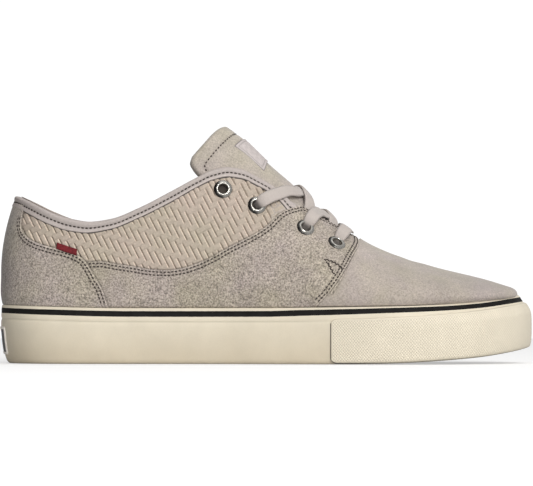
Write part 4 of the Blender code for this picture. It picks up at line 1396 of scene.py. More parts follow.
def tongue_stitches():
    """One row of stitches along the quilted line, from side to side over the head."""
    lat, med = tongue_line
    P = np.array([q for q, _ in lat] + [q for q, _ in med[::-1][1:]])
    N = np.array([q for _, q in lat] + [q for _, q in med[::-1][1:]])
    keep = P[:, 0] < 2.0
    P, N = P[keep], N[keep]
    s = run_length(P)
    k = np.arange(0.0, s[-1], 0.6)
    P = np.stack([np.interp(k, s, P[:, i]) for i in range(3)], -1)
    N = np.stack([np.interp(k, s, N[:, i]) for i in range(3)], -1)
    for _ in range(8):
        P[1:-1] = (P[:-2] + 2 * P[1:-1] + P[2:]) / 4
        N[1:-1] = (N[:-2] + 2 * N[1:-1] + N[2:]) / 4
    s = run_length(P)
    k = np.arange(2.0, s[-1] - 2.0, 2.35)
    pp = np.stack([np.interp(k, s, P[:, i]) for i in range(3)], -1)
    nn = unit(np.stack([np.interp(k, s, N[:, i]) for i in range(3)], -1))
    tan = unit(np.stack([np.interp(k + 0.5, s, P[:, i]) - np.interp(k - 0.5, s, P[:, i]) for i in range(3)], -1))
    return [(pp, nn, tan)]


stitch_mesh(tongue_stitches(), "tongue_stitching", m_thread, 1.30, 0.40, 0.26)


# ----------------------------------------------------------------- sidewall, bumper, label
def stripe_material():
    """Cream wrap with a black pinstripe and a faint moulded line; below = mm under the top."""
    m = Tree("foxing_looks", CREAM, 0.46, spec=0.28)
    g = m.spread(m.noise(0.05, 3, 0.55), 0.95, 1.04)
    g = m.math("MULTIPLY", g, m.spread(m.noise(1.4, 2), 0.985, 1.015))
    g = m.math("MULTIPLY", g, m.attr("tone"))
    col = m.scaled(CREAM, g)
    low = m.scaled((0.640, 0.560, 0.425), g)
    below = m.attr("below")
    top_hi = m.math("MULTIPLY", below, 0.025)
    # the cream turns darker towards the bottom, broken up by noise
    darker_low = m.math("SUBTRACT", m.math("MULTIPLY", below, 0.045), m.math("MULTIPLY", m.noise(0.08, 3), 0.5))
    col = m.mix(col, low, m.math("MULTIPLY", darker_low, 0.85, clamp=True))
    edge = m.math("MULTIPLY_ADD", m.noise(0.7, 2), 0.18, m.math("ADD", below, -0.09))
    f = m.math("MULTIPLY", m.math("GREATER_THAN", edge, m_lo(m)), m.math("LESS_THAN", edge, m_hi(m)))
    col = m.mix(col, (0.004, 0.0035, 0.003), f)
    m.base(col)
    m.rough(m.math("MULTIPLY_ADD", f, 0.25, m.spread(m.noise(0.25, 3), 0.42, 0.56)))
    m.bump(m.noise(0.9, 3, 0.6), 0.15, 0.12)
    return m.m


def m_lo(m):
    return m.attr("stripe_lo")


def m_hi(m):
    return m.attr("stripe_hi")


m_foxing = stripe_material()


def build_foxing():
    w = np.linspace(0, 2, 1001)[:-1]
    x = plan(w)[0]
    height = z_side(x) - z_under(x)
    at_x = [-145, -127, -114, -97, -81, 2, 18, 35, 52, 68, 85, 101, 118, 135]
    lo = np.interp(x, at_x, [1.70, 1.65, 1.55, 1.55, 1.68, 1.66, 1.25, 1.15, 0.95, 0.78, 0.75, 0.92, 0.95, 1.05])
    hi = lo + np.interp(x, at_x, [2.9, 3.0, 3.1, 3.15, 3.15, 3.2, 3.25, 3.1, 2.95, 2.8, 2.65, 2.5, 2.5, 2.45])
    # outer face: millimetres below the top edge and how proud it stands
    prof = [(0.0, -0.9), (0.05, -0.35), (0.30, -0.08), (0.7, 0.06), (1.1, 0.08), (1.5, 0.04), (1.8, -0.02),
            (2.8, -0.06), (4.0, -0.06), (4.6, -0.02), (5.0, 0.06), (5.6, 0.12), (6.6, 0.12), (7.2, 0.02),
            (7.6, -0.22), (8.0, -0.22), (8.4, 0.0), (9.2, 0.16), (10.6, 0.20)]
    a = np.array([r[0] for r in prof])
    o = np.array([r[1] for r in prof])
    rest = np.linspace(0, 1, 22)[1:]
    below = np.concatenate([np.broadcast_to(a, (len(w), len(a))),
                            a[-1] + (height[:, None] - a[-1]) * rest[None, :]], 1)
    out = np.concatenate([np.broadcast_to(o, (len(w), len(o))),
                          0.20 * (1 - rest[None, :] ** 2) + 0 * w[:, None]], 1)
    front = smooth(x, 5, 40)[:, None]
    out = out + 0.20 * np.exp(-((below - 7.8) / 0.6) ** 2) * front
    frac = 1 - below / height[:, None]
    # slight hand-laid waviness and a few soft dents
    wav = 0.10 * np.sin(x[:, None] / 9.0) * np.cos(below / 6.0 + x[:, None] / 31.0)
    out = out + wav * smooth(below, 8, 14)
    foot = np.clip((below - (height[:, None] - 1.2)) / 1.2, 0, 1)
    out = out - 0.5 * foot ** 2
    p = side_skin(w[:, None] + 0 * below, frac, out)
    # top lip and inner wall, then the bottom face inward
    inner_top = [side_skin(w, np.ones(len(w)), -1.3)[:, None, :] + np.array([0, 0, 0.05]),
                 side_skin(w, np.ones(len(w)), -FOXING_T + 0.1)[:, None, :] + np.array([0, 0, -0.15]),
                 side_skin(w, 1 - 4.0 / height, -FOXING_T + 0.1)[:, None, :]]
    bottom = [side_skin(w, np.zeros(len(w)), -1.2)[:, None, :], side_skin(w, np.zeros(len(w)), -FOXING_T)[:, None, :],
              side_skin(w, 3.0 / height, -FOXING_T)[:, None, :]]
    pts = np.concatenate(inner_top[::-1] + [p] + bottom, 1)
    bl = np.concatenate([np.zeros((len(w), 3)), below, np.repeat(height[:, None], 3, 1)], 1)
    # tone: painted shade in the moulded line toward the heel, at the rounded foot, at the very top edge under the
    # upper, and on the hidden rows
    tone = np.concatenate([np.full((len(w), 3), 0.95), 1.0 - 0.14 * np.exp(-((below - 7.8) / 0.35) ** 2) * (1 - front)
                           - 0.10 * foot - 0.10 * np.exp(-(below / 0.25) ** 2), np.full((len(w), 3), 0.8)], 1)
    n = np.stack([-plan(w)[2], -plan(w)[3], 0 * w], -1)[:, None, :]
    mask = np.zeros((1, pts.shape[1], 1))
    mask[:, 4:4 + len(a)] = 1
    make("foxing_wrap", pts, grid_quads(len(w), pts.shape[1], True, False), m_foxing,
         {"tone": tone, "below": bl, "stripe_lo": np.repeat(lo[:, None], pts.shape[1], 1),
          "stripe_hi": np.repeat(hi[:, None], pts.shape[1], 1)},
         outward=n * mask, replaces=("foxing",))


build_foxing()


def bumper_material():
    m = Tree("bumper_rubber", (0.77, 0.70, 0.565), 0.5, spec=0.35)
    col = (0.77, 0.70, 0.565)
    g = m.spread(m.noise(0.07, 3, 0.55), 0.96, 1.03)
    al, up, field = m.attr("along"), m.attr("up"), m.attr("field")
    step = 2 * math.pi / 1.55
    d1 = m.math("SINE", m.math("MULTIPLY", m.math("ADD", al, m.math("MULTIPLY", up, 0.85)), step))
    d2 = m.math("SINE", m.math("MULTIPLY", m.math("SUBTRACT", al, m.math("MULTIPLY", up, 0.85)), step))
    dia = m.math("MULTIPLY", m.math("MULTIPLY", m.math("ADD", d1, d2), 0.5), field)
    # the colour follows the diamond relief: painted shade in its hollows, lighter on its tops
    g = m.math("MULTIPLY", g, m.math("MULTIPLY_ADD", dia, 0.20, 1.0))
    g = m.math("MULTIPLY", g, m.attr("tone"))
    m.base(m.scaled(col, g))
    m.rough(m.spread(m.noise(0.3, 3), 0.45, 0.60))
    m.bump(dia, 0.6, 0.18)
    m.bump(m.noise(1.2, 3, 0.6), 0.15, 0.1)
    return m.m


m_bumper = bumper_material()


def build_bumper():
    w0 = 0.5945
    w = np.linspace(w0, 2 - w0, 640)
    p0 = side_skin(w, 0.5)
    s = run_length(p0)
    w = np.interp(s[-1] * 0.5 * (1 + np.sign(np.linspace(-1, 1, 601)) * (1 - (1 - np.abs(np.linspace(-1, 1, 601))) ** 1.12)), s, w)
    s = run_length(side_skin(w, 0.5))
    x = plan(w)[0]
    height = z_side(x) - z_under(x)
    e = np.minimum(s, s[-1] - s)
    cut = np.where(e < 4, (4 - np.sqrt(np.maximum(16 - (4 - np.minimum(e, 4)) ** 2, 0))) * 0.85, 0) / height
    f0 = 0.004 + cut
    f1 = 0.80 + 0.06 * smooth(x, 40, 145) - cut
    rows = 44
    r = 0.5 - 0.5 * np.cos(np.linspace(0, 1, rows) * math.pi)
    r = 0.55 * r + 0.45 * np.linspace(0, 1, rows)
    f = f0[:, None] + (f1 - f0)[:, None] * r[None, :]
    zz = f * height[:, None]
    ss = s[:, None] + 0 * zz
    d = np.minimum(np.minimum((f - f0[:, None]), (f1[:, None] - f)) * height[:, None], e[:, None])
    # rounded border, then a field of tiny pressed diamonds that fades out over the toe
    proud = 1.15 * np.sqrt(np.maximum(1 - (1 - np.clip(d / 1.0, 0, 1)) ** 2, 0))
    fade = 1 - 0.75 * smooth(np.minimum(ss, s[-1] - ss), 70, 125)
    field = smooth(d, 0.9, 1.8) * fade
    tooth = 0.28 * np.maximum(0, np.sin(ss * 2 * math.pi / 2.3)) * np.exp(-((zz - f0[:, None] * height[:, None] - 0.3) / 0.5) ** 2) * (ss > 3)
    out = 0.15 + proud - tooth
    p = side_skin(w[:, None] + 0 * f, f, out)
    # tone: painted shade round the rounded border, and a dark painted shadow along its foot near the ends; the hidden
    # rows are darker
    tone = 1.0 - 0.16 * (1 - smooth(d, 0.0, 0.7)) - 0.05 * (1 - smooth(d, 1.2, 2.2)) * smooth(d, 0.7, 1.2)
    foot = zz < 0.72 * height[:, None]
    side_d = np.minimum(e[:, None], np.where(ss > 0.5 * s[-1], s[-1] - ss, ss))
    near_end = 1 - smooth(side_d, 10.0, 40.0)
    tone = tone * (1.0 - (0.35 + 0.55 * near_end) * (1 - smooth(d, 0.30, 0.95)) * foot)
    back = side_skin(w[:, None] + 0 * f[:, [0]], f[:, [0]], -0.3)
    back2 = side_skin(w[:, None] + 0 * f[:, [0]], f[:, [-1]], -0.3)
    pts = np.concatenate([back, p, back2], 1)
    tn = np.concatenate([tone[:, :1] * 0.8, tone, tone[:, :1] * 0.8], 1)
    wide = [np.concatenate([v[:, :1], v, v[:, -1:]], 1) for v in (ss, zz, field)]
    n = np.stack([-plan(w)[2], -plan(w)[3], 0 * w], -1)[:, None, :]
    ends = []
    for i in (0, -1):
        c = side_skin(w[i], f[i], -0.3)
        ends.append(c)
    pts = np.concatenate([np.concatenate([pts[:1, :1], ends[0][None], pts[:1, -1:]], 1), pts,
                          np.concatenate([pts[-1:, :1], ends[1][None], pts[-1:, -1:]], 1)], 0)
    tn = np.concatenate([tn[:1] * 0.8, tn, tn[-1:] * 0.8], 0)
    wide = [np.concatenate([v[:1], v, v[-1:]], 0) for v in wide]
    nn = np.concatenate([n[:1], n, n[-1:]], 0)
    mask = np.zeros((1, pts.shape[1], 1))
    mask[:, 6:-6] = 1
    make("toe_bumper_looks", pts, grid_quads(pts.shape[0], pts.shape[1]), m_bumper,
         {"tone": tn, "along": wide[0], "up": wide[1], "field": wide[2]},
         outward=nn * mask, replaces=("toe_bumper",))


build_bumper()


def build_heel_label():
    q = np.linspace(-0.042, 0.042, 120)
    rows = 60
    x = plan(q)[0]
    height = z_side(x) - z_under(x)
    s = run_length(side_skin(q, 0.5))
    e = np.minimum(s, s[-1] - s)
    cut = np.where(e < 1.6, (1.6 - np.sqrt(np.maximum(1.6 ** 2 - (1.6 - np.minimum(e, 1.6)) ** 2, 0))) * 0.85, 0) / height
    f0, f1 = 0.145 + cut, 0.63 - cut
    f = f0[:, None] + (f1 - f0)[:, None] * np.linspace(0, 1, rows)[None, :]
    d = np.minimum(np.minimum(f - f0[:, None], f1[:, None] - f) * height[:, None], e[:, None])
    proud = 0.05 + 0.80 * np.sqrt(np.maximum(1 - (1 - np.clip(d / 0.7, 0, 1)) ** 2, 0))
    proud = proud - 0.35 * smooth(d, 1.45, 1.85)
    p = side_skin(q[:, None] + 0 * f, f, proud)
    back = side_skin(q[:, None] + 0 * f[:, :1], f[:, :1], -0.3)
    back2 = side_skin(q[:, None] + 0 * f[:, :1], f[:, -1:], -0.3)
    pts = np.concatenate([back, p, back2], 1)
    m = Tree("heel_label_looks", CREAM, 0.45, spec=0.45)
    g = m.spread(m.noise(0.2, 3), 0.95, 1.05)
    col = m.mix(m.scaled((0.90, 0.84, 0.76), g), (0.022, 0.018, 0.017), m.math("GREATER_THAN", m.attr("inside"), 1.60))
    m.base(col)
    m.bump(m.noise(1.0, 3), 0.2, 0.1)
    inside = np.concatenate([d[:, :1] * 0, d, d[:, :1] * 0], 1)
    n = np.stack([-plan(q)[2], -plan(q)[3], 0 * q], -1)[:, None, :]
    mask = np.zeros((1, pts.shape[1], 1))
    mask[:, 6:-6] = 1
    make("heel_label_looks", pts, grid_quads(len(q), pts.shape[1]), m.m, {"tone": inside * 0 + 1, "inside": inside},
         outward=n * mask, replaces=("heel_label",))


build_heel_label()


# ----------------------------------------------------------------- insole and outsole
def build_insole():
    w = np.linspace(0, 2, 361)[:-1]
    x = plan(w)[0]
    e = FOXING_T + GAP + WALL_T + 0.9
    rings = np.concatenate([[1.0, 1.0, 0.995, 0.985, 0.965], np.linspace(0.93, 0.0, 40)])
    drops = np.concatenate([[-4.0, -1.4, -0.5, -0.12, 0.0], np.zeros(40)])
    h = 1 - smooth(x, -110, -20)
    zb = z_board(x) + GAP
    rim_z = zb + INSOLE_T + INSOLE_CUP * h
    fr = np.clip((rim_z - z_under(x)) / (z_side(x) - z_under(x)), 0, 1)
    rim = side_skin(w, fr, -e)
    q = np.where(w <= 1, w, 2 - w)
    sx = -112 + 222 * smooth(q, 0.0, 1.0) * 0.35 + 222 * q * 0.65
    c = np.stack([sx, ridge_y(sx) * 0.6], -1)
    pts = []
    for f, dz in zip(rings, drops):
        xy = c + (rim[:, :2] - c) * f
        heel = 1 - smooth(xy[:, 0], -110, -20)
        z = z_board(xy[:, 0]) + GAP + INSOLE_T + INSOLE_CUP * heel * f ** 3 + dz
        z = z + 0.25 * np.sin(xy[:, 0] / 21.0) * (1 - f ** 4)
        # worn hollow under the heel and ball
        z = z - 0.5 * np.exp(-((xy[:, 0] + 100) / 26) ** 2 - (xy[:, 1] / 20) ** 2)
        z = z - 0.4 * np.exp(-((xy[:, 0] - 55) / 30) ** 2 - (xy[:, 1] / 32) ** 2)
        pts.append(np.concatenate([xy, z[:, None]], 1))
    pts = np.stack(pts, 1)
    m = Tree("insole_fabric_looks", (0.42, 0.39, 0.35), 0.9, sheen=0.2, spec=0.3)
    g = m.spread(m.noise(1.2, 3), 0.9, 1.1)
    g = m.math("MULTIPLY", g, m.spread(m.noise(0.05, 3), 0.93, 1.05))
    m.base(m.scaled((0.42, 0.39, 0.35), g))
    wv = m.node("ShaderNodeTexWave", wave_type="BANDS", bands_direction="DIAGONAL")
    wv.inputs["Scale"].default_value = 0.9
    m.link(m.vec, wv.inputs["Vector"])
    m.bump(wv.outputs["Fac"], 0.25, 0.15)
    m.bump(m.noise(1.5, 3), 0.4, 0.15)
    make("insole_looks", pts, grid_quads(len(w), pts.shape[1], True, False), m.m, {"tone": np.ones(pts.shape[:-1])},
         weld=0.002, outward=np.broadcast_to(np.array([0, 0, 1.0]), pts.shape), replaces=("insole",))


build_insole()


def build_outsole():
    """Underside: the CAD sole keeps its shape and gets a rubber material whose banded bump stands for the tread."""
    m = Tree("outsole_rubber_looks", (0.66, 0.58, 0.44), 0.6, spec=0.4)
    g = m.spread(m.noise(0.08, 3, 0.55), 0.92, 1.04)
    g = m.math("MULTIPLY", g, m.spread(m.noise(1.0, 3), 0.96, 1.03))
    m.base(m.scaled((0.66, 0.58, 0.44), g))
    wv = m.node("ShaderNodeTexWave", wave_type="BANDS", bands_direction="X")
    wv.inputs["Scale"].default_value = 0.16
    wv.inputs["Distortion"].default_value = 1.5
    wv.inputs["Detail"].default_value = 0.0
    m.link(m.vec, wv.inputs["Vector"])
    m.bump(wv.outputs["Fac"], 0.6, 0.8)
    m.bump(m.noise(0.9, 3), 0.2, 0.15)
    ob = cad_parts["outsole"]
    ob.data.materials.clear()
    ob.data.materials.append(m.m)
    return ob


build_outsole()


# ----------------------------------------------------------------- eyelets
def metal_material():
    m = Tree("eyelet_metal_looks", (0.50, 0.485, 0.45), 0.22, metal=1.0)
    g = m.spread(m.noise(0.5, 3), 0.93, 1.04)
    m.base(m.scaled((0.50, 0.485, 0.45), m.math("MULTIPLY", g, m.attr("tone"))))
    m.rough(m.spread(m.noise(1.2, 3), 0.18, 0.34))
    m.bump(m.noise(2.0, 2), 0.06, 0.05)
    return m.m


m_metal = metal_material()


def build_eyelets():
    for side, word in ((-1, "lateral"), (1, "medial")):
        w, t = find_xz(side, [(x, z) for _, x, z in EYELETS])
        for i, (name, _, _) in enumerate(EYELETS):
            seat = 0.25 if name in "12" else 0.85
            c = raw(w[i], t[i])
            n = skin_n(w[i], t[i])
            ref = np.array([0, 0, 1.0])
            a = unit(np.cross(ref, n))
            b = np.cross(n, a)
            # washer turned over the edge: inner barrel, rolled rim, outer skirt
            ro, ri = EYELET_R + 0.25, EYELET_HOLE_R
            prof = [(ri + 0.25, -2.6), (ri + 0.05, -1.8), (ri, -0.8), (ri, 0.0), (ri + 0.02, 0.45), (ri + 0.12, 0.80),
                    (ri + 0.30, 1.03), (ri + 0.55, 1.14), (ri + 0.82, 1.12), (ri + 1.05, 1.00), (ri + 1.25, 0.86),
                    (ri + 1.60, 0.66), (ri + 1.95, 0.47), (ri + 2.20, 0.31), (ro - 0.08, 0.16), (ro, 0.0), (ro - 0.1, -0.5)]
            seg = 56
            ang = np.linspace(0, 2 * math.pi, seg + 1)[:-1]
            pts = []
            for r, h in prof:
                pts.append(c + (a[None] * np.cos(ang)[:, None] + b[None] * np.sin(ang)[:, None]) * r + n * (h + seat))
            pts = np.stack(pts, 1)
            mask = np.zeros((1, len(prof), 1))
            mask[:, 7:14] = 1
            # painted dark reflection: the outer skirt is darkened, most on its left and lower side
            left_low_side = 0.5 - 0.5 * (np.cos(ang)[:, None] * a[0] + np.sin(ang)[:, None] * b[0] + 0.25 * (
                np.cos(ang)[:, None] * a[2] + np.sin(ang)[:, None] * b[2]))
            skirt = smooth(np.array([r for r, _ in prof]), ri + 0.95, ri + 1.45)[None, :]
            make("eyelet_%s_%s_ring" % (word, name), pts, grid_quads(seg, len(prof), True, False), m_metal,
                 {"tone": 1.0 - (0.25 + 0.65 * smooth(left_low_side, 0.45, 0.75)) * skirt}, outward=np.broadcast_to(n, pts.shape) * mask,
                 replaces=("eyelet_%s_%s" % (word, name),))
            # dark disc standing for the shade seen through the hole, a painted shadow
            disc = [c + n * (seat - 2.4)]
            disc += [c + (a * math.cos(x) + b * math.sin(x)) * (ri + 0.3) + n * (seat - 2.4) for x in ang]
            fs = [(0, 1 + k, 1 + (k + 1) % seg) for k in range(seg)]
            make("eyelet_back_%s_%s" % (word, name), disc, fs, m_hole_shadow, {"tone": np.ones(len(disc))})


build_eyelets()


# ----------------------------------------------------------------- laces
def lace_material():
    m = Tree("lace_weave_looks", LACE_C, 0.88, sheen=0.3, sheen_rough=0.4, spec=0.25)
    al, ac = m.attr("along"), m.attr("across")
    v1 = m.math("ADD", m.math("MULTIPLY", al, 5.2), m.math("MULTIPLY", m.math("ABSOLUTE", ac), 6.5))
    rib = m.math("SINE", v1)
    fine = m.math("SINE", m.math("MULTIPLY", ac, 14.0))
    h = m.math("ADD", m.math("MULTIPLY", rib, 0.5), m.math("MULTIPLY", fine, 0.3))
    g = m.spread(m.noise(1.8, 3, 0.6), 0.94, 1.05)
    g = m.math("MULTIPLY", g, m.math("MULTIPLY_ADD", rib, 0.025, 0.985))
    g = m.math("MULTIPLY", g, m.attr("tone"))
    m.base(m.scaled(LACE_C, g))
    m.bump(h, 0.45, 0.10)
    m.bump(m.noise(2.0, 3, 0.6), 0.35, 0.10)
    return m.m


m_lace = lace_material()


def lace(name, w, t, lift, width, turn=None, replaces=(), both=False):
    """Flat lace along control rows (w, extended t, lift, width)."""
    rows = np.stack([w, t], -1)
    p = skin(rows[:, 0], rows[:, 1], np.asarray(lift, float))
    s = run_length(p)
    n = max(int(s[-1] / 0.55), 8)
    k = np.linspace(0, s[-1], n)

    def spl(v):
        v = np.asarray(v, float)
        return pchip(s, v)(k)
    ww, tt = spl(rows[:, 0]), spl(rows[:, 1])
    ll, wd = spl(lift), spl(width)
    pts = skin(ww, tt, ll)
    nn = skin_n(ww, tt)
    for _ in range(9):
        pts[1:-1] = (pts[:-2] + 2 * pts[1:-1] + pts[2:]) / 4
        nn = unit(np.concatenate([nn[:1], (nn[:-2] + 2 * nn[1:-1] + nn[2:]) / 4, nn[-1:]]))
    tan = unit(np.gradient(pts, axis=0))
    up = unit(nn - tan * (nn * tan).sum(-1, keepdims=True))
    if turn is not None:
        ang = spl(turn)[:, None]
        bi = np.cross(tan, up)
        up = up * np.cos(ang) + bi * np.sin(ang)
    bi = np.cross(tan, up)
    th = 0.62
    sec = []
    m = 11
    for i in range(m):
        a = -1 + 2 * i / (m - 1)
        sec.append((a, th * (1 - abs(a) ** 5) ** 0.5 + 0.16 * (1 - a * a)))
    for i in range(m - 2, 0, -1):
        a = -1 + 2 * i / (m - 1)
        sec.append((a, -th * (1 - abs(a) ** 5) ** 0.5))
    sec = np.array(sec)
    thick = np.clip(LACE_W / np.maximum(wd, 1), 1.0, 1.7)
    v = (pts[:, None, :] + bi[:, None, :] * (sec[None, :, 0] * wd[:, None] / 2)[..., None]
         + up[:, None, :] * (sec[None, :, 1] * thick[:, None])[..., None])
    al = np.broadcast_to(np.linspace(0, s[-1], n)[:, None], v.shape[:2])
    ac = np.broadcast_to(sec[None, :, 0] * 3.7, v.shape[:2])
    # tone: painted shade along the rounded edges, and a painted shadow where the lace starts inside the eyelet hole
    tone = 1.0 - 0.10 * (np.abs(ac) > 3.4)
    gone = run_length(pts)
    gone = np.minimum(gone, gone[-1] - gone) if both else gone
    tone = tone * (0.30 + 0.70 * smooth(gone, 2.4, 5.2))[:, None]
    faces = grid_quads(n, len(sec), False, True).tolist()
    k2 = len(sec)
    faces += [tuple(range(k2)), tuple(range((n - 1) * k2, n * k2))[::-1]]
    ob = make(name, v, faces, m_lace, {"tone": tone, "along": al, "across": ac}, replaces=replaces)
    bm = bmesh.new()
    bm.from_mesh(ob.data)
    bmesh.ops.recalc_face_normals(bm, faces=bm.faces)
    bm.to_mesh(ob.data)
    bm.free()
    return ob


def build_laces():
    # each band from the hole of one eyelet, over the flap and the tongue, down under the other flap
    # rows: w, t on the near side, lift over the skin, width; the ridge is t = 2
    # near side, place over the ridge, far side down to where the band slips under the other flap
    spec = {
        "2": ([(257.2, 204.9), (259.0, 203.9), (262.0, 202.2), (267.0, 199.7), (276.5, 195.6), (288.1, 191.0),
               (297.2, 190.6)], [-2.6, 0.4, 2.6, 3.3, 2.1, 0.4, -0.7], 0.5735,
              [(308.3, 196.4), (310.6, 201.6), (311.4, 207.4), (312.0, 214.0)], (-1.3, 0.35),
              [(-1.7, -2.0, -2.4, -3.2), (0.25, -0.5, -1.6, -3.2)]),
        "3": ([(306.0, 226.8), (307.0, 225.0), (308.4, 222.4), (310.8, 218.8), (314.6, 215.0), (319.8, 212.6),
               (324.3, 213.4)], [-2.4, 1.2, 3.9, 4.3, 2.4, 0.7, -0.3], 0.6235,
              [(332.6, 218.2), (335.0, 222.6), (336.4, 229.0)], (-0.7, 0.75),
              [(-1.6, -2.2, -3.2), (0.3, -1.2, -3.2)]),
    }
    for name, (near_px, lifts, ridge_w, far_px, ridge_lift, down) in spec.items():
        wn, tn = find_px(near_px)
        wf, tf = find_px(far_px)
        for side in (-1, 1):
            over = side > 0
            w_all = np.concatenate([wn, [ridge_w], wf])
            t_all = np.concatenate([tn, [2.0], 4 - tf])
            lift = lifts + [ridge_lift[over]] + list(down[over])
            width = [4.6, 6.2, 7.4] + [LACE_W + 0.2] * (len(near_px) - 3 + len(far_px)) + [LACE_W - 0.4]
            tag = "medial" if over else "lateral"
            rep = () if over else (("lace_cross_2",) if name == "2" else ("lace_cross_1",))
            lace("lace_row%s_%s" % (name, tag), 2 - w_all if over else w_all, t_all, lift, width, replaces=rep)
    # the straight bar over the lowest pair
    near_px = [(337.3, 241.9), (338.2, 240.2), (339.4, 238.0), (341.4, 234.9), (344.2, 231.2)]
    wn, tn = find_px(near_px)
    w_all = np.concatenate([wn, [0.6590], wn[::-1]])
    t_all = np.concatenate([tn, [2.0], 4 - tn[::-1]])
    lift = [-2.6, 1.4, 4.6, 5.0, 2.3]
    width = [4.6, 6.2, 7.4, LACE_W + 0.2, LACE_W + 0.2]
    lace("lace_bar_looks", w_all, t_all, lift + [0.6] + lift[::-1], width + [LACE_W + 0.2] + width[::-1],
         replaces=("lace_bar",), both=True)


build_laces()


# ----------------------------------------------------------------- red tag and tongue patch
def build_side_tag():
    m = Tree("red_tag_looks", (0.17, 0.014, 0.019), 0.75, sheen=0.1, spec=0.25)
    g = m.spread(m.noise(0.9, 3), 0.62, 1.35)
    m.base(m.scaled((0.17, 0.014, 0.019), m.math("MULTIPLY", g, m.attr("tone"))))
    wv = m.node("ShaderNodeTexWave", wave_type="BANDS", bands_direction="Z")
    wv.inputs["Scale"].default_value = 1.3
    m.link(m.vec, wv.inputs["Vector"])
    m.bump(wv.outputs["Fac"], 0.4, 0.1)
    px = [(57.0, 245.9), (67.0, 249.3), (77.0, 252.5)]
    w, t = line_on_skin(px, 0.35)
    rows = 17
    v = np.linspace(-1, 1, rows)
    half = 1.90
    tt = down_from(w, t, np.full((len(w), 1), 0.0))
    a = v[None, :] * half + 0 * w[:, None]
    up_t = (raw(w, t + 0.005) - raw(w, t - 0.005)) / 0.01
    rate = np.linalg.norm(up_t, axis=1)
    tq = t[:, None] - a / rate[:, None]
    ww = w[:, None] + 0 * tq
    fold = np.sqrt(np.maximum(1 - v ** 4, 0))
    s = run_length(raw(w, t))
    e = np.minimum(s, s[-1] - s)
    ends = smooth(e, 0.0, 0.5)
    lift = 1.35 + (0.25 + 0.55 * ends)[:, None] * fold[None, :]
    top = skin(ww, tq, lift)
    bot = skin(ww, tq, np.full(tq.shape, 0.6))
    n = skin_n(ww, tq)
    # tone: painted shade on the rolled long edges
    tone = 1.0 - 0.3 * (np.abs(v) > 0.8)[None, :] + 0 * ww
    verts = np.concatenate([top.reshape(-1, 3), bot.reshape(-1, 3)])
    f1 = grid_quads(*ww.shape)
    q = np.cross(verts[f1[:, 2]] - verts[f1[:, 0]], verts[f1[:, 3]] - verts[f1[:, 1]])
    if (q * n.reshape(-1, 3)[f1[:, 0]]).sum() < 0:
        f1 = f1[:, ::-1]
    r, c = ww.shape
    walls = []
    idx = np.arange(r * c).reshape(r, c)
    ring = np.concatenate([idx[0, :-1], idx[:-1, -1], idx[-1, :0:-1], idx[:0:-1, 0]])
    for i in range(len(ring)):
        a_, b_ = int(ring[i]), int(ring[(i + 1) % len(ring)])
        walls.append((a_, b_, b_ + r * c, a_ + r * c))
    ob = make("side_tag_looks", verts, f1.tolist() + (f1[:, ::-1] + r * c).tolist() + walls, m.m,
              {"tone": np.concatenate([tone.ravel()] * 2)}, replaces=("side_tag",))
    bm = bmesh.new()
    bm.from_mesh(ob.data)
    bmesh.ops.recalc_face_normals(bm, faces=bm.faces)
    bm.to_mesh(ob.data)
    bm.free()


build_side_tag()


def build_patch():
    """Plain stitched patch on the tongue's centre, with nothing on it."""
    m = leather("tongue_patch", (0.610, 0.550, 0.535), 0.7, 0.8)
    xs = (np.array([247.6, 270.8]) - CAM_U) / 1.786
    (we, te) = find_px([(234.3, 146.0), (264.2, 171.2)], -TONGUE_DEPTH)
    wr = np.interp(xs, sec_ridge(_qq), _qq)
    rows, cols = 60, 61
    k = np.linspace(0, 1, rows)
    a = np.linspace(-1, 1, cols)
    wr_k = wr[0] + (wr[1] - wr[0]) * k
    we_k = we[0] + (we[1] - we[0]) * k
    te_k = te[0] + (te[1] - te[0]) * k
    q = wr_k[:, None] + (we_k - wr_k)[:, None] * np.abs(a)[None, :] ** 1.5
    t = 2 + (te_k - 2)[:, None] * np.abs(a)[None, :]
    w = np.where(a[None, :] <= 0, q, 2 - q)
    p = raw(w, t)
    n = skin_n(w, t)
    rim = np.concatenate([p[0], p[1:-1, -1], p[-1, ::-1], p[-2:0:-1, 0], p[:1, 0]])
    d = near(p, rim)
    lift = -TONGUE_DEPTH - 0.05 + 0.42 * np.sqrt(np.maximum(1 - (1 - np.clip(d / 0.4, 0, 1)) ** 2, 0))
    lift = lift - 0.22 * np.exp(-((d - 1.9) / 0.35) ** 2)
    # tone: painted shade at the raised edge and in the stitch groove
    tone = 0.93 - 0.62 * (1 - smooth(d, 0.10, 0.75)) - 0.30 * np.exp(-((d - 1.9) / 0.30) ** 2)
    tone = tone + 0.05 * np.sin(p[..., 0] * 2.1 + 1.3 * np.sin(p[..., 1] * 1.7)) * smooth(d, 2.2, 3.0)
    pts = p + n * lift[..., None]
    make("tongue_patch_plain", pts, grid_quads(rows, cols), m, {"tone": tone}, outward=n)


build_patch()


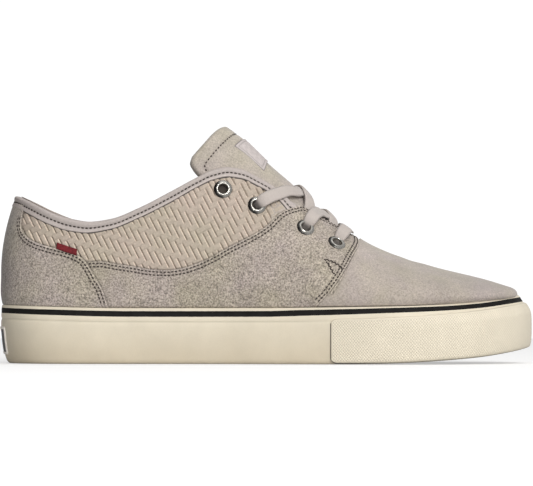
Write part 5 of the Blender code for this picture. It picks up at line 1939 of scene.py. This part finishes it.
# ----------------------------------------------------------------- seams
def build_stitches():
    rows = []
    for side in (-1, 1):
        ew, et, k1, k2 = quarter_edges[side]
        # inward is found by trying both sides of the line
        a = raw(*shift_on_skin(ew, et, 3.0))[:, 2]
        b = raw(*shift_on_skin(ew, et, -3.0))[:, 2]
        sgn = 1.0 if np.mean(a[:k1]) < np.mean(b[:k1]) else -1.0
        for d in (1.35, 3.15):
            w, t = shift_on_skin(ew, et, sgn * d)
            for _ in range(6):
                w[1:-1] = (w[:-2] + 2 * w[1:-1] + w[2:]) / 4
                t[1:-1] = (t[:-2] + 2 * t[1:-1] + t[2:]) / 4
            ok = np.ones(len(w), bool)
            w, t = w[ok], t[ok]
            if side > 0:
                w = 2 - w
                w, t = w[::-1], t[::-1]
            rows.append(stitch_row(w, t, 2.10, 0.62, 1.5))
    stitch_mesh(rows, "quarter_stitching", m_thread, 1.45, 0.42, 0.26)
    rows = []
    for d in (1.4, 3.2):
        w, t = shift_on_skin(e_w, e_t, -d)
        p0 = raw(*shift_on_skin(cw, ct, 3.0))[:, 2].mean()
        p1 = raw(*shift_on_skin(cw, ct, -3.0))[:, 2].mean()
        if p0 < p1:
            w, t = shift_on_skin(e_w, e_t, d)
        for _ in range(10):
            w[1:-1] = (w[:-2] + 2 * w[1:-1] + w[2:]) / 4
            t[1:-1] = (t[:-2] + 2 * t[1:-1] + t[2:]) / 4
        for part in (w > 0.055, w < -0.055):
            ww, tt = w[part], t[part]
            keep = raw(ww, tt)[:, 2] < raw(ww, cut_t(ww))[:, 2] - 9
            rows.append(stitch_row(ww[keep], tt[keep], 2.10, lambda p: 1.20 + heel_ease(p[:, 0]), 1.0))
    stitch_mesh(rows, "counter_stitching", m_thread, 1.50, 0.44, 0.26)
    stitch_mesh(binding_stitches, "binding_stitching", m_thread, 1.65, 0.46, 0.24)
    rows = []
    for line in (BARTACK, BARTACK_SIDE):
        w, t = line_on_skin(line, 0.5)
        for place in (stitch_row(w, t, 1.15, 0.80, 0.3), stitch_row(2 - w[::-1], t[::-1], 1.15, 0.80, 0.3)):
            p, n, tan = place
            b = np.cross(n, tan)
            zig = np.where(np.arange(len(p)) % 2, 1.0, -1.0)[:, None]
            rows.append((p + b * zig * 0.22, n, unit(tan + b * zig * 0.55)))
    stitch_mesh(rows, "bartack_stitching", m_thread, 1.45, 0.40, 0.25)


build_stitches()


# ----------------------------------------------------------------- camera, light and floor
def at(x, y, z):
    return Vector(((x + CENTRE[0]) * MM, (y + CENTRE[1]) * MM, z * MM))


cam_data = bpy.data.cameras.new("photo_view")
cam = bpy.data.objects.new("photo_view", cam_data)
bpy.context.scene.collection.objects.link(cam)
cam.location = at(0, -CAM_D, CAM_Z)
cam.rotation_euler = (math.radians(90), 0, 0)
cam_data.sensor_fit = "HORIZONTAL"
cam_data.sensor_width = 36.0
cam_data.lens = CAM_F / 533.0 * 36.0
cam_data.clip_start = 0.1
cam_data.clip_end = 60.0
bpy.context.scene.camera = cam


def area(name, loc, size, power, target=(0, 0, 60), size_y=None, color=(1, 1, 1)):
    ld = bpy.data.lights.new(name, "AREA")
    ld.shape = "RECTANGLE"
    ld.size, ld.size_y = size, size_y or size
    ld.energy = power
    ld.color = color
    ob = bpy.data.objects.new(name, ld)
    bpy.context.scene.collection.objects.link(ob)
    ob.location = at(*loc)
    d = at(*target) - ob.location
    ob.rotation_euler = d.to_track_quat("-Z", "Y").to_euler()
    return ob


area("key", (620, -1650, 930), 0.45, 17.0, color=(1.0, 0.985, 0.96))
area("top_soft", (100, -350, 1900), 1.4, 5.0, color=(1.0, 0.99, 0.98))
area("front_fill", (-250, -2350, 420), 1.2, 8.0)

world = bpy.data.worlds.new("studio")
bpy.context.scene.world = world
world.use_nodes = True
nt = world.node_tree
bg = nt.nodes["Background"]
bg.inputs["Color"].default_value = (1, 1, 1, 1)
bg.inputs["Strength"].default_value = 0.36
# the studio is darker to the left, behind the heel
coord = nt.nodes.new("ShaderNodeTexCoord")
split = nt.nodes.new("ShaderNodeSeparateXYZ")
nt.links.new(coord.outputs["Generated"], split.inputs["Vector"])
fall = nt.nodes.new("ShaderNodeMapRange")
fall.interpolation_type = "SMOOTHSTEP"
fall.inputs["From Min"].default_value = -0.95
fall.inputs["From Max"].default_value = 0.10
fall.inputs["To Min"].default_value = 0.05
fall.inputs["To Max"].default_value = 0.62
nt.links.new(split.outputs["X"], fall.inputs["Value"])
nt.links.new(fall.outputs["Result"], bg.inputs["Strength"])
bright = nt.nodes.new("ShaderNodeBackground")
bright.inputs["Color"].default_value = (1, 1, 1, 1)
bright.inputs["Strength"].default_value = 1.05
mixer = nt.nodes.new("ShaderNodeMixShader")
path = nt.nodes.new("ShaderNodeLightPath")
nt.links.new(path.outputs["Is Camera Ray"], mixer.inputs["Fac"])
nt.links.new(bg.outputs["Background"], mixer.inputs[1])
nt.links.new(bright.outputs["Background"], mixer.inputs[2])
nt.links.new(mixer.outputs["Shader"], nt.nodes["World Output"].inputs["Surface"])

# plain pale floor; the paper is lit up for the view only, so that it throws little light back
fm = bpy.data.materials.new("studio_floor")
fm.use_nodes = True
ft = fm.node_tree
fb = ft.nodes["Principled BSDF"]
fb.inputs["Base Color"].default_value = (0.62, 0.62, 0.62, 1)
fb.inputs["Roughness"].default_value = 0.95
fb.inputs["Specular IOR Level"].default_value = 0.1
fb.inputs["Emission Color"].default_value = (1, 1, 1, 1)
fb.inputs["Emission Strength"].default_value = 0.55
fpath = ft.nodes.new("ShaderNodeLightPath")
fmul = ft.nodes.new("ShaderNodeMath")
fmul.operation = "MULTIPLY_ADD"
fmul.inputs[1].default_value = 0.40
fmul.inputs[2].default_value = 0.05
ft.links.new(fpath.outputs["Is Camera Ray"], fmul.inputs[0])
ft.links.new(fmul.outputs[0], fb.inputs["Emission Strength"])
fbm = bmesh.new()
bmesh.ops.create_grid(fbm, x_segments=1, y_segments=1, size=1.6)
fme = bpy.data.meshes.new("floor")
fbm.to_mesh(fme)
fbm.free()
fme.materials.append(fm)
floor = bpy.data.objects.new("floor", fme)
bpy.context.scene.collection.objects.link(floor)
floor.location = (0.25, -0.55, -0.0003)

bpy.context.scene.view_settings.view_transform = "Standard"
bpy.context.scene.view_settings.look = "None"

bpy.context.view_layer.update()
